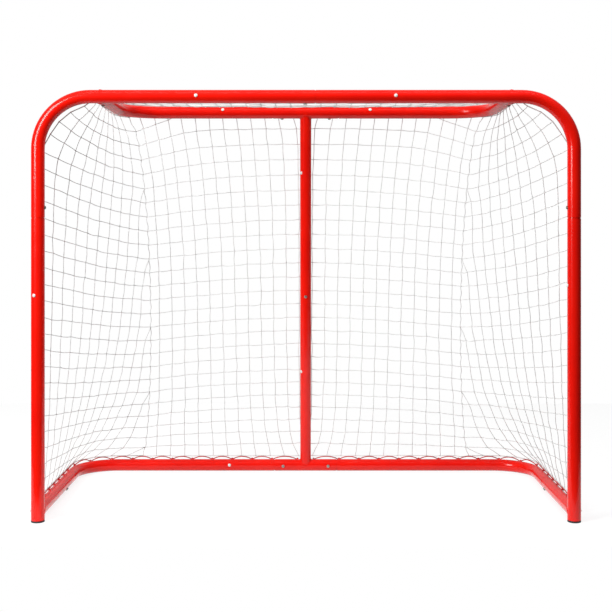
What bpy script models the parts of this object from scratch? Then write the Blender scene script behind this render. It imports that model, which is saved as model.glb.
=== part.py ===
import math

import bmesh
import bpy
from mathutils import Matrix, Vector

# A steel-tube street hockey goal with a knotted net. All sizes are in metres.
# X runs across the mouth, +Y from the mouth to the back, and the goal stands on Z = 0.
# Every piece is placed from the plane of the two posts, and the goal is centred at the end.

# Overall sizes
GOAL_WIDTH = 1.42
GOAL_HEIGHT = 1.115
BASE_DEPTH = 0.575            # post centres to the centre of the base's back rail
BASE_FRONT_HEIGHT = 0.0275    # centre of the base rail where it leaves a post
SHELF_DEPTH = 0.39            # post centres to the centre of the shelf's back rail
SHELF_HALF_WIDTH = 0.532      # centre plane to the centre of a shelf side rail
SHELF_DROP = 0.0085           # the shelf's back rail lies this far below the crossbar

# Tubes
TUBE_RADIUS = 0.0175
TUBE_WALL = 0.0012
CENTRE_TUBE_RADIUS = 0.0165
CORNER_BEND = 0.135
BASE_BEND = 0.118
SHELF_BEND = 0.115
TUBE_SIDES = 14
BEND_STEPS = 7

# Slip joints: one tube's swaged end goes into the next tube and one bolt holds them
CROSSBAR_SEAM = 0.023         # right of the centre plane
POST_SEAM_HEIGHT = 0.785
BASE_STUB_LENGTH = 0.32
SHELF_STUB_LENGTH = 0.075
TEE_HALF_LENGTH = 0.095
CENTRE_SEAM_HEIGHT = 0.522
SWAGE_LENGTH = 0.055
SHOULDER_LENGTH = 0.003
JOINT_GAP = 0.0003
BOLT_SETBACK = 0.026          # from a seam to its bolt
BORE_CUT_MARGIN = 0.005       # a bore is cleared this far past a welded branch
BORE_CUT_DEPTH = 0.00015      # and cut this far into the wall

# Bolts, nuts, plugs and caps
BOLT_RADIUS = 0.003
BOLT_HEAD_RADIUS = 0.0047
BOLT_HEAD_HEIGHT = 0.003
BOLT_HEAD_FLAT = 0.0028       # radius of the flat on top of the domed head
BOLT_LENGTH = 0.012
NUT_RADIUS = 0.0055
NUT_HEIGHT = 0.005
HOLE_GAP = 0.0004
HOLE_SIDES = 8
HOLE_TURN = math.radians(14)  # keeps a hole's corners off the tubes' own lines
PLUG_HEAD_RADIUS = 0.0046
PLUG_HEAD_HEIGHT = 0.0018
PLUG_SHOULDER_RADIUS = 0.003  # where the plug's dome turns down
PLUG_SHOULDER_HEIGHT = 0.0014
PLUG_STEM_RADIUS = 0.003
PLUG_STEM_LENGTH = 0.006
CAP_RIM_HEIGHT = 0.0045
CAP_BARREL_LENGTH = 0.02
BASE_BOLT_TILT = math.radians(36)

# Spare hanging holes, each closed by a plug: where they are and which way they face
CROSSBAR_PLUG_LEFT = 0.283    # these are measured from the centre plane
CROSSBAR_PLUG_RIGHT = 0.231
SHELF_PLUG_LEFT = 0.2415
SHELF_PLUG_RIGHT = 0.1876
BASE_PLUG_LEFT = 0.234
POST_PLUG_HEIGHT_LEFT = 0.585
POST_PLUG_HEIGHT_RIGHT = 0.61
CENTRE_PLUG_HEIGHT_UPPER = 0.915
CENTRE_PLUG_HEIGHT_LOWER = 0.316
CROSSBAR_PLUG_TILT = math.radians(6)
SHELF_PLUG_TILT = math.radians(25)
BASE_PLUG_TILT = math.radians(10)
POST_PLUG_TURN_LEFT = math.radians(-21)
POST_PLUG_TURN_RIGHT = math.radians(-82)
CENTRE_PLUG_TURN = math.radians(-50)

# Net, pegs and lacing
NET_CORD = 0.0022
NET_STANDOFF = 0.0018         # from a tube's surface to the middle of the net's edge cord
PEG_FOOT_RADIUS = 0.0015
PEG_HEAD_RADIUS = 0.0035
PEG_HEIGHT = 0.0055
PEG_SIDES = 5
POST_PEG_PITCH = 0.127
CROSSBAR_PEG_PITCH = 0.127
CROSSBAR_FIRST_PEG = 0.085
CROSSBAR_LAST_PEG = 0.48
LACING_RADIUS = 0.0015
LACING_PITCH = 0.0617         # from peg to peg along the base rails
LACING_FIRST_PEG = 0.0245     # centre plane to the peg beside the centre post
LACING_SECOND_PEG = 0.1035
LACING_POST_GAP = 0.045       # the last peg stays this far from the post's centre
LACING_PEG_TILT = math.radians(40)
NET_BOTTOM_RISE = 0.0272      # net's lower edge above the centre of the base rail
NET_BOTTOM_OUT = 0.006        # and this far outside it
CREST_DROP = 0.0034           # lacing crest below the net's lower edge
SEAM_CORD_RADIUS = 0.0012
SEAM_CORNER_TURN = math.radians(50)   # how far round the shelf's bend the corner seam starts
UNDER_SHELF = math.radians(170)       # the back and side nets start under the shelf's rail
SEAM_FOOT_FROM_BEND = 0.071   # along the back rail, from its bend to the corner seam's foot
SEAM_DRAW_IN = 0.047          # the corner seam's middle hangs this far inside its ends
SEAM_DRAW_SKEW = 0.8          # below 1, the seam is drawn in furthest above its middle
SEAM_DRAW_FULLNESS = 0.6      # below 1, it leaves its ends more sharply
SEAM_HANG = 1.3               # above 1, the seam hangs steeper at the top than at the base
SEAM_GAP = 0.00045            # between the seam cord and the nets that it joins
TENT_HALF_WIDTH = 0.25        # the centre post holds the back net out this far to each side
TOP_SAG = 0.012
NET_ROWS = 10                 # from the base to the shelf
SIDE_COLUMNS = 6
BACK_COLUMNS = 11
TOP_ROWS = 4
GUIDE_STEPS = 24              # fine steps round a bend, to measure along it
SHELF_EDGE_STEPS = 4

# Worked out from the sizes above
POST_X = GOAL_WIDTH / 2 - TUBE_RADIUS
CROSSBAR_Z = GOAL_HEIGHT - TUBE_RADIUS
SHELF_BACK_Z = CROSSBAR_Z - SHELF_DROP
BASE_BACK_Z = TUBE_RADIUS
FLAT_SHARE = math.cos(math.pi / TUBE_SIDES)
BRANCH_TURN = math.pi / TUBE_SIDES    # turns a branch's flats to where the main tube has corners
EDGE_OFFSET = TUBE_RADIUS + NET_STANDOFF
EDGE_BESIDE_PEG = PEG_HEAD_RADIUS + NET_CORD / 2
SEAM_TO_NET = SEAM_CORD_RADIUS + NET_CORD / 2 + SEAM_GAP
EDGE_UNDER_BOLT = TUBE_RADIUS + BOLT_HEAD_HEIGHT + NET_CORD / 2 + 2 * JOINT_GAP

RED = (0.86, 0.02, 0.005)
BLACK = (0.02, 0.02, 0.02)
WHITE = (0.86, 0.86, 0.84)
CORD_RED = (0.55, 0.01, 0.03)
STEEL = (0.45, 0.45, 0.43)

UP = Vector((0, 0, 1))
BACK = Vector((0, 1, 0))
FRONT = -BACK
ACROSS = Vector((1, 0, 0))


def clear_scene():
    for item in list(bpy.data.objects):
        bpy.data.objects.remove(item, do_unlink=True)


def make_collection(name):
    collection = bpy.data.collections.new(name)
    bpy.context.scene.collection.children.link(collection)
    return collection


def finish_part(item, colour, roughness, metallic):
    material = bpy.data.materials.new(item.name + "_finish")
    material.use_nodes = True
    shader = material.node_tree.nodes["Principled BSDF"]
    shader.inputs["Base Color"].default_value = (*colour, 1)
    shader.inputs["Roughness"].default_value = roughness
    shader.inputs["Metallic"].default_value = metallic
    item.data.materials.clear()
    item.data.materials.append(material)
    item.data.shade_smooth()
    item.data.set_sharp_from_angle(angle=math.radians(35))


def new_part(name, mesh, colour, roughness=0.35, metallic=0.0):
    mesh.name = name
    item = bpy.data.objects.new(name, mesh)
    parts.objects.link(item)
    item.parent = stand
    finish_part(item, colour, roughness, metallic)
    return item


def new_cutter(name, mesh):
    item = bpy.data.objects.new(name, mesh)
    cutters.objects.link(item)
    item.parent = stand
    item.hide_render = True
    item.display_type = "WIRE"
    return item


def mirrored(point):
    return Vector((-point.x, point.y, point.z))


def on_side(point, side):
    """A point worked out for the left side, on the side asked for (-1 left, 1 right)."""
    return mirrored(point) if side > 0 else Vector(point)


def bent_path(corners, bend_radius, steps=BEND_STEPS):
    """Points of a run that turns each of its inner corners on an arc."""
    path = [Vector(corners[0])]
    for before, corner, after in zip(corners, corners[1:], corners[2:]):
        towards = (Vector(before) - Vector(corner)).normalized()
        away = (Vector(after) - Vector(corner)).normalized()
        half = towards.angle(away) / 2
        centre = Vector(corner) + (towards + away).normalized() * bend_radius / math.sin(half)
        start = Vector(corner) + towards * bend_radius / math.tan(half) - centre
        axis = towards.cross(away) * -1
        turn = math.pi - 2 * half
        for step in range(steps + 1):
            path.append(centre + Matrix.Rotation(turn * step / steps, 3, axis) @ start)
    path.append(Vector(corners[-1]))
    return path


def walk(path, distance):
    """The point and the direction at a distance along a run of points."""
    for start, end in zip(path, path[1:]):
        length = (end - start).length
        if distance <= length:
            break
        distance -= length
    direction = (end - start).normalized()
    return start + direction * min(distance, length), direction


def path_length(path):
    return sum((end - start).length for start, end in zip(path, path[1:]))


def pipe_mesh(path, radii, sides, capped, turn=0.0):
    """The surface of a round pipe along a run of points, with a radius at each of them."""
    curve = bpy.data.curves.new("guide", "CURVE")
    curve.dimensions = "3D"
    curve.twist_mode = "MINIMUM"
    curve.bevel_depth = 1
    curve.bevel_resolution = (sides - 4) // 2
    curve.use_fill_caps = capped
    spline = curve.splines.new("POLY")
    spline.points.add(len(path) - 1)
    for knot, place, radius in zip(spline.points, path, radii):
        knot.co = (*place, 1)
        knot.radius = radius
        knot.tilt = turn
    guide = bpy.data.objects.new("guide", curve)
    cutters.objects.link(guide)
    graph = bpy.context.evaluated_depsgraph_get()
    mesh = bpy.data.meshes.new_from_object(guide.evaluated_get(graph))
    mesh.transform(guide.matrix_world)
    bpy.data.objects.remove(guide, do_unlink=True)
    bpy.data.curves.remove(curve)
    shape = bmesh.new()
    shape.from_mesh(mesh)
    bmesh.ops.remove_doubles(shape, verts=shape.verts, dist=0.00001)
    shape.to_mesh(mesh)
    shape.free()
    return mesh


def swage_radius(radius):
    """Corner radius of a swaged end, which fits the flats of the next tube's bore."""
    return radius * FLAT_SHARE - TUBE_WALL - JOINT_GAP


def swaged(path, radius, at_start, at_end):
    """Adds a swaged end to either end of a run: the run's end is the seam."""
    narrow = swage_radius(radius)
    points = list(path)
    radii = [radius] * len(points)
    for wanted, reverse in ((at_start, True), (at_end, False)):
        if not wanted:
            continue
        if reverse:
            points.reverse()
            radii.reverse()
        outward = (points[-1] - points[-2]).normalized()
        seam = points.pop()
        radii.pop()
        shoulder = seam - outward * JOINT_GAP
        points += [shoulder - outward * SHOULDER_LENGTH, shoulder, seam + outward * SWAGE_LENGTH]
        radii += [radius, narrow, narrow]
        if reverse:
            points.reverse()
            radii.reverse()
    return points, radii


def add_wall(item, wall):
    shell = item.modifiers.new("wall", "SOLIDIFY")
    shell.thickness = wall
    shell.offset = -1
    shell.use_even_offset = True


def add_boolean(item, other, operation, solver="EXACT"):
    joint = item.modifiers.new(other.name, "BOOLEAN")
    joint.operation = operation
    joint.solver = solver
    joint.object = other


def make_tube(name, path, radius=TUBE_RADIUS, swage_start=False, swage_end=False):
    points, radii = swaged(path, radius, swage_start, swage_end)
    item = new_part(name, pipe_mesh(points, radii, TUBE_SIDES, False), RED)
    add_wall(item, TUBE_WALL)
    return item


def weld_branch(item, branch_path, branch_radius, main_direction, swage_end=False):
    """Welds a branch tube to a main tube, and keeps the main tube's bore clear."""
    points, radii = swaged(branch_path, branch_radius, False, swage_end)
    tube = pipe_mesh(points, radii, TUBE_SIDES, False, BRANCH_TURN)
    branch = new_cutter(item.name + "_branch", tube)
    add_wall(branch, TUBE_WALL)
    add_boolean(item, branch, "UNION")
    reach = main_direction * (branch_radius + BORE_CUT_MARGIN)
    bore_path = [branch_path[0] - reach, branch_path[0] + reach]
    bore_radius = TUBE_RADIUS - TUBE_WALL + BORE_CUT_DEPTH
    bore = pipe_mesh(bore_path, [bore_radius] * 2, TUBE_SIDES, True)
    add_boolean(item, new_cutter(item.name + "_bore", bore), "DIFFERENCE")


def turned_mesh(profile, sides):
    """A solid turned about Z from (radius, height) points that run from top to bottom."""
    mesh = bpy.data.meshes.new("turned")
    shape = bmesh.new()
    knots = [shape.verts.new((radius, 0, height)) for radius, height in profile]
    for upper, lower in zip(knots, knots[1:]):
        shape.edges.new((upper, lower))
    bmesh.ops.spin(shape, geom=shape.verts[:] + shape.edges[:], cent=(0, 0, 0), axis=(0, 0, 1),
                   angle=math.tau, steps=sides, use_merge=True)
    bmesh.ops.remove_doubles(shape, verts=shape.verts, dist=0.00001)
    bmesh.ops.recalc_face_normals(shape, faces=shape.faces)
    shape.to_mesh(mesh)
    shape.free()
    return mesh


def standing_on(point, direction):
    """Places a piece's own Z axis along a direction, with its foot at a point."""
    return Matrix.Translation(point) @ direction.to_track_quat("Z", "Y").to_matrix().to_4x4()


def drill(item, name, point, direction, radius, depth):
    """A round hole that starts outside a wall and stops inside the bore."""
    shape = bmesh.new()
    bmesh.ops.create_cone(shape, cap_ends=True, segments=HOLE_SIDES, radius1=radius, radius2=radius,
                          depth=depth, matrix=Matrix.Rotation(HOLE_TURN, 4, "Z"))
    mesh = bpy.data.meshes.new(name)
    shape.to_mesh(mesh)
    shape.free()
    cutter = new_cutter(name, mesh)
    cutter.matrix_local = standing_on(point, direction)
    add_boolean(item, cutter, "DIFFERENCE")


# Runs of the tubes' centre lines

def upper_path(side):
    seam = Vector((CROSSBAR_SEAM, 0, CROSSBAR_Z))
    corner = Vector((side * POST_X, 0, CROSSBAR_Z))
    foot = Vector((side * POST_X, 0, POST_SEAM_HEIGHT))
    return bent_path((seam, corner, foot), CORNER_BEND)


def base_point(depth, side):
    """A point of the base's side rail, which falls slightly towards the back."""
    fall = (BASE_FRONT_HEIGHT - BASE_BACK_Z) * depth / BASE_DEPTH
    return Vector((side * POST_X, depth, BASE_FRONT_HEIGHT - fall))


def shelf_point(depth, side):
    return Vector((side * SHELF_HALF_WIDTH, depth, CROSSBAR_Z - SHELF_DROP * depth / SHELF_DEPTH))


def base_path(side, inner, front, steps=BEND_STEPS):
    """The base rail from a distance beside the centre plane to a depth behind the post."""
    start = Vector((side * inner, BASE_DEPTH, BASE_BACK_Z))
    return bent_path((start, base_point(BASE_DEPTH, side), base_point(front, side)), BASE_BEND, steps)


def shelf_path(side, inner, front, steps=BEND_STEPS):
    start = Vector((side * inner, SHELF_DEPTH, SHELF_BACK_Z))
    return bent_path((start, shelf_point(SHELF_DEPTH, side), shelf_point(front, side)), SHELF_BEND, steps)


def square_to_centre_post(direction):
    """A direction turned square to the leaning centre post."""
    lean = (centre_point(SHELF_BACK_Z) - centre_point(BASE_BACK_Z)).normalized()
    return (direction - lean * direction.dot(lean)).normalized()


def centre_point(height):
    """A point of the centre post, which leans back from the shelf to the base."""
    share = (SHELF_BACK_Z - height) / (SHELF_BACK_Z - BASE_BACK_Z)
    return Vector((0, SHELF_DEPTH + (BASE_DEPTH - SHELF_DEPTH) * share, height))


# Frame

def make_upper_frame(side):
    name = "upper_left_frame" if side < 0 else "upper_right_frame"
    path = upper_path(side)
    item = make_tube(name, path, swage_start=side > 0)
    stub = [shelf_point(0, side), shelf_point(SHELF_STUB_LENGTH, side)]
    weld_branch(item, stub, TUBE_RADIUS, ACROSS)
    return item


def make_lower_post(side):
    name = "lower_left_post" if side < 0 else "lower_right_post"
    foot = Vector((side * POST_X, 0, CAP_RIM_HEIGHT + JOINT_GAP))
    path = [foot, Vector((side * POST_X, 0, POST_SEAM_HEIGHT))]
    item = make_tube(name, path, swage_end=True)
    stub = [base_point(0, side), base_point(BASE_STUB_LENGTH, side)]
    weld_branch(item, stub, TUBE_RADIUS, UP)
    return item


def make_base_rail(side):
    name = "base_rail_left" if side < 0 else "base_rail_right"
    return make_tube(name, base_path(side, TEE_HALF_LENGTH, BASE_STUB_LENGTH),
                     swage_start=True, swage_end=True)


def make_shelf_rail(side):
    name = "shelf_rail_left" if side < 0 else "shelf_rail_right"
    return make_tube(name, shelf_path(side, TEE_HALF_LENGTH, SHELF_STUB_LENGTH),
                     swage_start=True, swage_end=True)


def make_centre_post(upper):
    name = "centre_post_upper" if upper else "centre_post_lower"
    middle = centre_point(SHELF_BACK_Z if upper else BASE_BACK_Z)
    tee = [middle - Vector((TEE_HALF_LENGTH, 0, 0)), middle + Vector((TEE_HALF_LENGTH, 0, 0))]
    item = make_tube(name, tee)
    stem = [middle, centre_point(CENTRE_SEAM_HEIGHT)]
    weld_branch(item, stem, CENTRE_TUBE_RADIUS, ACROSS, swage_end=not upper)
    return item


# Small parts of the frame

def make_cap(side):
    name = "post_cap_left" if side < 0 else "post_cap_right"
    barrel = swage_radius(TUBE_RADIUS)
    top = CAP_RIM_HEIGHT + CAP_BARREL_LENGTH
    profile = ((0, top), (barrel, top), (barrel, CAP_RIM_HEIGHT), (TUBE_RADIUS, CAP_RIM_HEIGHT),
               (TUBE_RADIUS, 0), (0, 0))
    item = new_part(name, turned_mesh(profile, TUBE_SIDES), BLACK, 0.6)
    item.location = (side * POST_X, 0, 0)


def bolt_mesh():
    """A button-head bolt whose head's underside is at height 0."""
    profile = ((0, BOLT_HEAD_HEIGHT), (BOLT_HEAD_FLAT, BOLT_HEAD_HEIGHT),
               (BOLT_HEAD_RADIUS, BOLT_HEAD_HEIGHT / 3), (BOLT_HEAD_RADIUS, 0), (BOLT_RADIUS, 0),
               (BOLT_RADIUS, -BOLT_LENGTH), (0, -BOLT_LENGTH))
    return turned_mesh(profile, 8)


def nut_mesh():
    """A hexagon nut round the bolt's shank, with its upper face at height 0."""
    shape = bmesh.new()
    bore = (BOLT_RADIUS + HOLE_GAP) / math.cos(math.pi / 6)
    for radius, height in ((NUT_RADIUS, 0), (bore, 0), (bore, -NUT_HEIGHT), (NUT_RADIUS, -NUT_HEIGHT)):
        bmesh.ops.create_circle(shape, cap_ends=False, segments=6, radius=radius,
                                matrix=Matrix.Translation((0, 0, height)))
    shape.edges.ensure_lookup_table()
    rings = [shape.edges[start:start + 6] for start in range(0, 24, 6)]
    for ring, following in zip(rings, rings[1:] + rings[:1]):
        bmesh.ops.bridge_loops(shape, edges=ring + following)
    bmesh.ops.recalc_face_normals(shape, faces=shape.faces)
    mesh = bpy.data.meshes.new("nut")
    shape.to_mesh(mesh)
    shape.free()
    return mesh


def joint_bolts():
    """Each bolt: its node, the tubes that it goes through, its place on the axis, its direction."""
    lean = (centre_point(BASE_BACK_Z) - centre_point(SHELF_BACK_Z)).normalized()
    bolts = [
        ("crossbar_bolt", ("upper_left_frame", "upper_right_frame"), TUBE_RADIUS,
         Vector((CROSSBAR_SEAM - BOLT_SETBACK, 0, CROSSBAR_Z)), -UP),
        ("centre_post_bolt", ("centre_post_upper", "centre_post_lower"), CENTRE_TUBE_RADIUS,
         centre_point(CENTRE_SEAM_HEIGHT) - lean * BOLT_SETBACK, square_to_centre_post(FRONT)),
    ]
    for side, hand in ((-1, "left"), (1, "right")):
        across = Vector((side, 0, 0))
        tee_reach = across * (TEE_HALF_LENGTH - BOLT_SETBACK)
        tilted = -across * math.cos(BASE_BOLT_TILT) - UP * math.sin(BASE_BOLT_TILT)
        bolts += [
            (f"post_bolt_{hand}", (f"upper_{hand}_frame", f"lower_{hand}_post"), TUBE_RADIUS,
             Vector((side * POST_X, 0, POST_SEAM_HEIGHT + BOLT_SETBACK)), -across),
            (f"base_side_bolt_{hand}", (f"lower_{hand}_post", f"base_rail_{hand}"), TUBE_RADIUS,
             base_point(BASE_STUB_LENGTH - BOLT_SETBACK, side), tilted),
            (f"shelf_side_bolt_{hand}", (f"upper_{hand}_frame", f"shelf_rail_{hand}"), TUBE_RADIUS,
             shelf_point(SHELF_STUB_LENGTH - BOLT_SETBACK, side), -UP),
            (f"shelf_tee_bolt_{hand}", ("centre_post_upper", f"shelf_rail_{hand}"), TUBE_RADIUS,
             centre_point(SHELF_BACK_Z) + tee_reach, -UP),
            (f"base_tee_bolt_{hand}", ("centre_post_lower", f"base_rail_{hand}"), TUBE_RADIUS,
             centre_point(BASE_BACK_Z) + tee_reach, FRONT),
        ]
    return bolts


def make_bolts_and_nuts(tubes):
    for name, through, radius, place, direction in joint_bolts():
        bolt = new_part(name, bolt_mesh(), STEEL, 0.3, 1.0)
        bolt.matrix_local = standing_on(place + direction * (radius + JOINT_GAP), direction)
        swage_bore = swage_radius(radius) * FLAT_SHARE - TUBE_WALL
        seat = math.sqrt(swage_bore ** 2 - NUT_RADIUS ** 2) - JOINT_GAP
        nut = new_part(name.replace("bolt", "nut"), nut_mesh(), STEEL, 0.4, 1.0)
        nut.matrix_local = standing_on(place + direction * seat, direction)
        for tube in through:
            drill(tubes[tube], f"{tube}_{name}_hole", place + direction * radius, direction,
                  BOLT_RADIUS + HOLE_GAP, radius)


def plug_mesh():
    """A domed plug whose head's underside is at height 0."""
    profile = ((0, PLUG_HEAD_HEIGHT), (PLUG_SHOULDER_RADIUS, PLUG_SHOULDER_HEIGHT),
               (PLUG_HEAD_RADIUS, 0), (PLUG_STEM_RADIUS, 0), (PLUG_STEM_RADIUS, -PLUG_STEM_LENGTH),
               (0, -PLUG_STEM_LENGTH))
    return turned_mesh(profile, 8)


def facing(tilt, turn=0.0):
    """The mouth's direction, tilted up and then turned about Z."""
    return Matrix.Rotation(turn, 3, "Z") @ (Matrix.Rotation(-tilt, 3, "X") @ FRONT)


def hole_plugs():
    """Each plug: its node, its tube, the place on the axis and the direction that it faces."""
    crossbar = Vector((0, 0, CROSSBAR_Z))
    shelf = centre_point(SHELF_BACK_Z)
    base = centre_point(BASE_BACK_Z)
    post = ACROSS * POST_X
    from_centre_post = square_to_centre_post(facing(0, CENTRE_PLUG_TURN))
    return (
        ("crossbar_plug_left", "upper_left_frame", TUBE_RADIUS,
         crossbar - ACROSS * CROSSBAR_PLUG_LEFT, facing(CROSSBAR_PLUG_TILT)),
        ("crossbar_plug_right", "upper_right_frame", TUBE_RADIUS,
         crossbar + ACROSS * CROSSBAR_PLUG_RIGHT, facing(CROSSBAR_PLUG_TILT)),
        ("post_plug_left", "lower_left_post", TUBE_RADIUS,
         UP * POST_PLUG_HEIGHT_LEFT - post, facing(0, POST_PLUG_TURN_LEFT)),
        ("post_plug_right", "lower_right_post", TUBE_RADIUS,
         UP * POST_PLUG_HEIGHT_RIGHT + post, facing(0, POST_PLUG_TURN_RIGHT)),
        ("centre_post_plug_upper", "centre_post_upper", CENTRE_TUBE_RADIUS,
         centre_point(CENTRE_PLUG_HEIGHT_UPPER), from_centre_post),
        ("centre_post_plug_lower", "centre_post_lower", CENTRE_TUBE_RADIUS,
         centre_point(CENTRE_PLUG_HEIGHT_LOWER), from_centre_post),
        ("shelf_plug_left", "shelf_rail_left", TUBE_RADIUS,
         shelf - ACROSS * SHELF_PLUG_LEFT, facing(SHELF_PLUG_TILT)),
        ("shelf_plug_right", "shelf_rail_right", TUBE_RADIUS,
         shelf + ACROSS * SHELF_PLUG_RIGHT, facing(SHELF_PLUG_TILT)),
        ("base_plug", "base_rail_left", TUBE_RADIUS,
         base - ACROSS * BASE_PLUG_LEFT, facing(BASE_PLUG_TILT)),
    )


def make_plugs(tubes):
    for name, tube, radius, place, direction in hole_plugs():
        plug = new_part(name, plug_mesh(), WHITE, 0.4)
        plug.matrix_local = standing_on(place + direction * (radius + JOINT_GAP), direction)
        drill(tubes[tube], f"{tube}_{name}_hole", place + direction * radius, direction,
              PLUG_STEM_RADIUS + HOLE_GAP, radius)


# Pegs that the net and its lacing hook on, welded to the tubes

def weld_pegs(item, places):
    """Welds a flared peg on a tube at each foot and direction."""
    group = bmesh.new()
    for foot, direction in places:
        bmesh.ops.create_cone(group, cap_ends=True, segments=PEG_SIDES, radius1=PEG_FOOT_RADIUS,
                              radius2=PEG_HEAD_RADIUS, depth=PEG_HEIGHT + TUBE_WALL,
                              matrix=standing_on(foot + direction * (PEG_HEIGHT - TUBE_WALL) / 2, direction))
    mesh = bpy.data.meshes.new("pegs")
    group.to_mesh(mesh)
    group.free()
    add_boolean(item, new_cutter(item.name + "_pegs", mesh), "UNION", "MANIFOLD")


def post_peg_heights():
    lowest = BASE_FRONT_HEIGHT + TUBE_RADIUS + POST_PEG_PITCH / 2
    count = int((CROSSBAR_Z - CORNER_BEND - lowest) / POST_PEG_PITCH) + 1
    return [lowest + POST_PEG_PITCH * step for step in range(count)]


def lacing_distances():
    """Distances of the lacing pegs along the base rail, from the centre plane."""
    whole = path_length(base_path(-1, 0, LACING_POST_GAP, GUIDE_STEPS))
    count = int((whole - LACING_SECOND_PEG) / LACING_PITCH) + 1
    return [LACING_FIRST_PEG] + [LACING_SECOND_PEG + LACING_PITCH * step for step in range(count)]


def beside_rail(path, distance, outward, upward):
    """A point beside the left base rail, at a distance along it from the centre plane."""
    place, direction = walk(path, distance)
    return place + direction.cross(UP).normalized() * outward + UP * upward


def make_pegs(tubes):
    line = base_path(-1, 0, 0, GUIDE_STEPS)
    stub_from = path_length(line) - BASE_STUB_LENGTH
    tee_pegs = []
    for side, hand in ((-1, "left"), (1, "right")):
        upper, lower, rail = [], [], []
        for height in post_peg_heights():
            foot = Vector((side * POST_X, TUBE_RADIUS, height))
            (lower if height < POST_SEAM_HEIGHT else upper).append((foot, BACK))
        reach = CROSSBAR_FIRST_PEG
        while reach < CROSSBAR_LAST_PEG:
            upper.append((Vector((side * reach, TUBE_RADIUS, CROSSBAR_Z)), BACK))
            reach += CROSSBAR_PEG_PITCH
        for distance in lacing_distances():
            centre = on_side(beside_rail(line, distance, 0, 0), side)
            foot = on_side(beside_rail(line, distance, TUBE_RADIUS * math.sin(LACING_PEG_TILT),
                                       TUBE_RADIUS * math.cos(LACING_PEG_TILT)), side)
            place = (foot, (foot - centre).normalized())
            if distance < TEE_HALF_LENGTH:
                tee_pegs.append(place)
            elif distance < stub_from:
                rail.append(place)
            else:
                lower.append(place)
        weld_pegs(tubes[f"upper_{hand}_frame"], upper)
        weld_pegs(tubes[f"lower_{hand}_post"], lower)
        weld_pegs(tubes[f"base_rail_{hand}"], rail)
    weld_pegs(tubes["centre_post_lower"], tee_pegs)


# Red cord that laces the net's lower edge to the pegs of the base rails

def make_lacing(side):
    line = base_path(-1, 0, 0, GUIDE_STEPS)
    trough_radius = TUBE_RADIUS + LACING_RADIUS + JOINT_GAP
    share_up_peg = (2 * LACING_RADIUS + JOINT_GAP + TUBE_WALL) / (PEG_HEIGHT + TUBE_WALL)
    peg_beside_cord = PEG_FOOT_RADIUS + (PEG_HEAD_RADIUS - PEG_FOOT_RADIUS) * share_up_peg
    beside_peg = peg_beside_cord + LACING_RADIUS + 2 * JOINT_GAP
    tilt = LACING_PEG_TILT + beside_peg / trough_radius
    trough = Vector((trough_radius * math.sin(tilt), trough_radius * math.cos(tilt)))
    crest = Vector((NET_BOTTOM_OUT + LACING_RADIUS, NET_BOTTOM_RISE - CREST_DROP))
    shares = (0, 0.07, 0.25, 0.5, 0.75, 0.93)
    path = []
    distances = lacing_distances()
    for near, far in zip(distances, distances[1:]):
        for share in shares:
            offset = trough.lerp(crest, math.sin(math.pi * share))
            point = beside_rail(line, near + (far - near) * share, offset.x, offset.y)
            path.append(on_side(point, side))
    path.append(on_side(beside_rail(line, distances[-1], trough.x, trough.y), side))
    name = "lacing_cord_left" if side < 0 else "lacing_cord_right"
    new_part(name, pipe_mesh(path, [LACING_RADIUS] * len(path), 6, True), CORD_RED, 0.7)


# Net

def resampled(path, count):
    whole = path_length(path)
    return [walk(path, whole * step / count)[0] for step in range(count + 1)]


def seam_line(count, shift):
    """The corner seam from the base to the shelf, with a shift towards the centre plane."""
    base = base_path(-1, 0, 0, GUIDE_STEPS)
    to_foot = POST_X - BASE_BEND - SEAM_FOOT_FROM_BEND
    foot = beside_rail(base, to_foot, NET_BOTTOM_OUT, NET_BOTTOM_RISE)
    head = shelf_edge(SEAM_CORNER_TURN, UNDER_SHELF, EDGE_UNDER_BOLT)
    points = []
    for step in range(count + 1):
        share = step / count
        point = foot.lerp(head, share)
        point.y = head.y + (foot.y - head.y) * (1 - share) ** SEAM_HANG
        swing = max(0.0, math.sin(math.pi * (1 - share) ** SEAM_DRAW_SKEW))
        point.x += SEAM_DRAW_IN * swing ** SEAM_DRAW_FULLNESS + shift
        points.append(point)
    return points


def shelf_edge(turn, tilt, reach):
    """A point round the left shelf rail: a turn along its bend from the back, a tilt from the top."""
    centre = Vector((-(SHELF_HALF_WIDTH - SHELF_BEND), SHELF_DEPTH - SHELF_BEND, SHELF_BACK_Z))
    outward = Vector((-math.sin(turn), math.cos(turn), 0))
    around = outward * math.sin(tilt) + UP * math.cos(tilt)
    return centre + outward * SHELF_BEND + around * reach


def patch(front, back, bottom, top):
    """A net panel stretched between four edges, as rows of points from bottom to top."""
    rows = []
    last_row = len(front) - 1
    last_column = len(bottom) - 1
    for row in range(last_row + 1):
        v = row / last_row
        line = []
        for column in range(last_column + 1):
            u = column / last_column
            ends = front[row].lerp(back[row], u) + bottom[column].lerp(top[column], v)
            corners = bottom[0].lerp(bottom[-1], u).lerp(top[0].lerp(top[-1], u), v)
            line.append(ends - corners)
        rows.append(line)
    return rows


def make_net(name, rows):
    """A lattice of cords along the rows and columns of a panel."""
    shape = bmesh.new()
    knots = [[shape.verts.new(point) for point in line] for line in rows]
    for lower, upper in zip(knots, knots[1:]):
        for column in range(len(lower) - 1):
            shape.faces.new((lower[column], lower[column + 1], upper[column + 1], upper[column]))
    mesh = bpy.data.meshes.new(name)
    shape.to_mesh(mesh)
    shape.free()
    item = new_part(name, mesh, WHITE, 0.8)
    lattice = item.modifiers.new("cords", "WIREFRAME")
    lattice.thickness = NET_CORD
    lattice.offset = 0
    lattice.use_even_offset = True
    lattice.use_boundary = True
    lattice.use_replace = True


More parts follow.
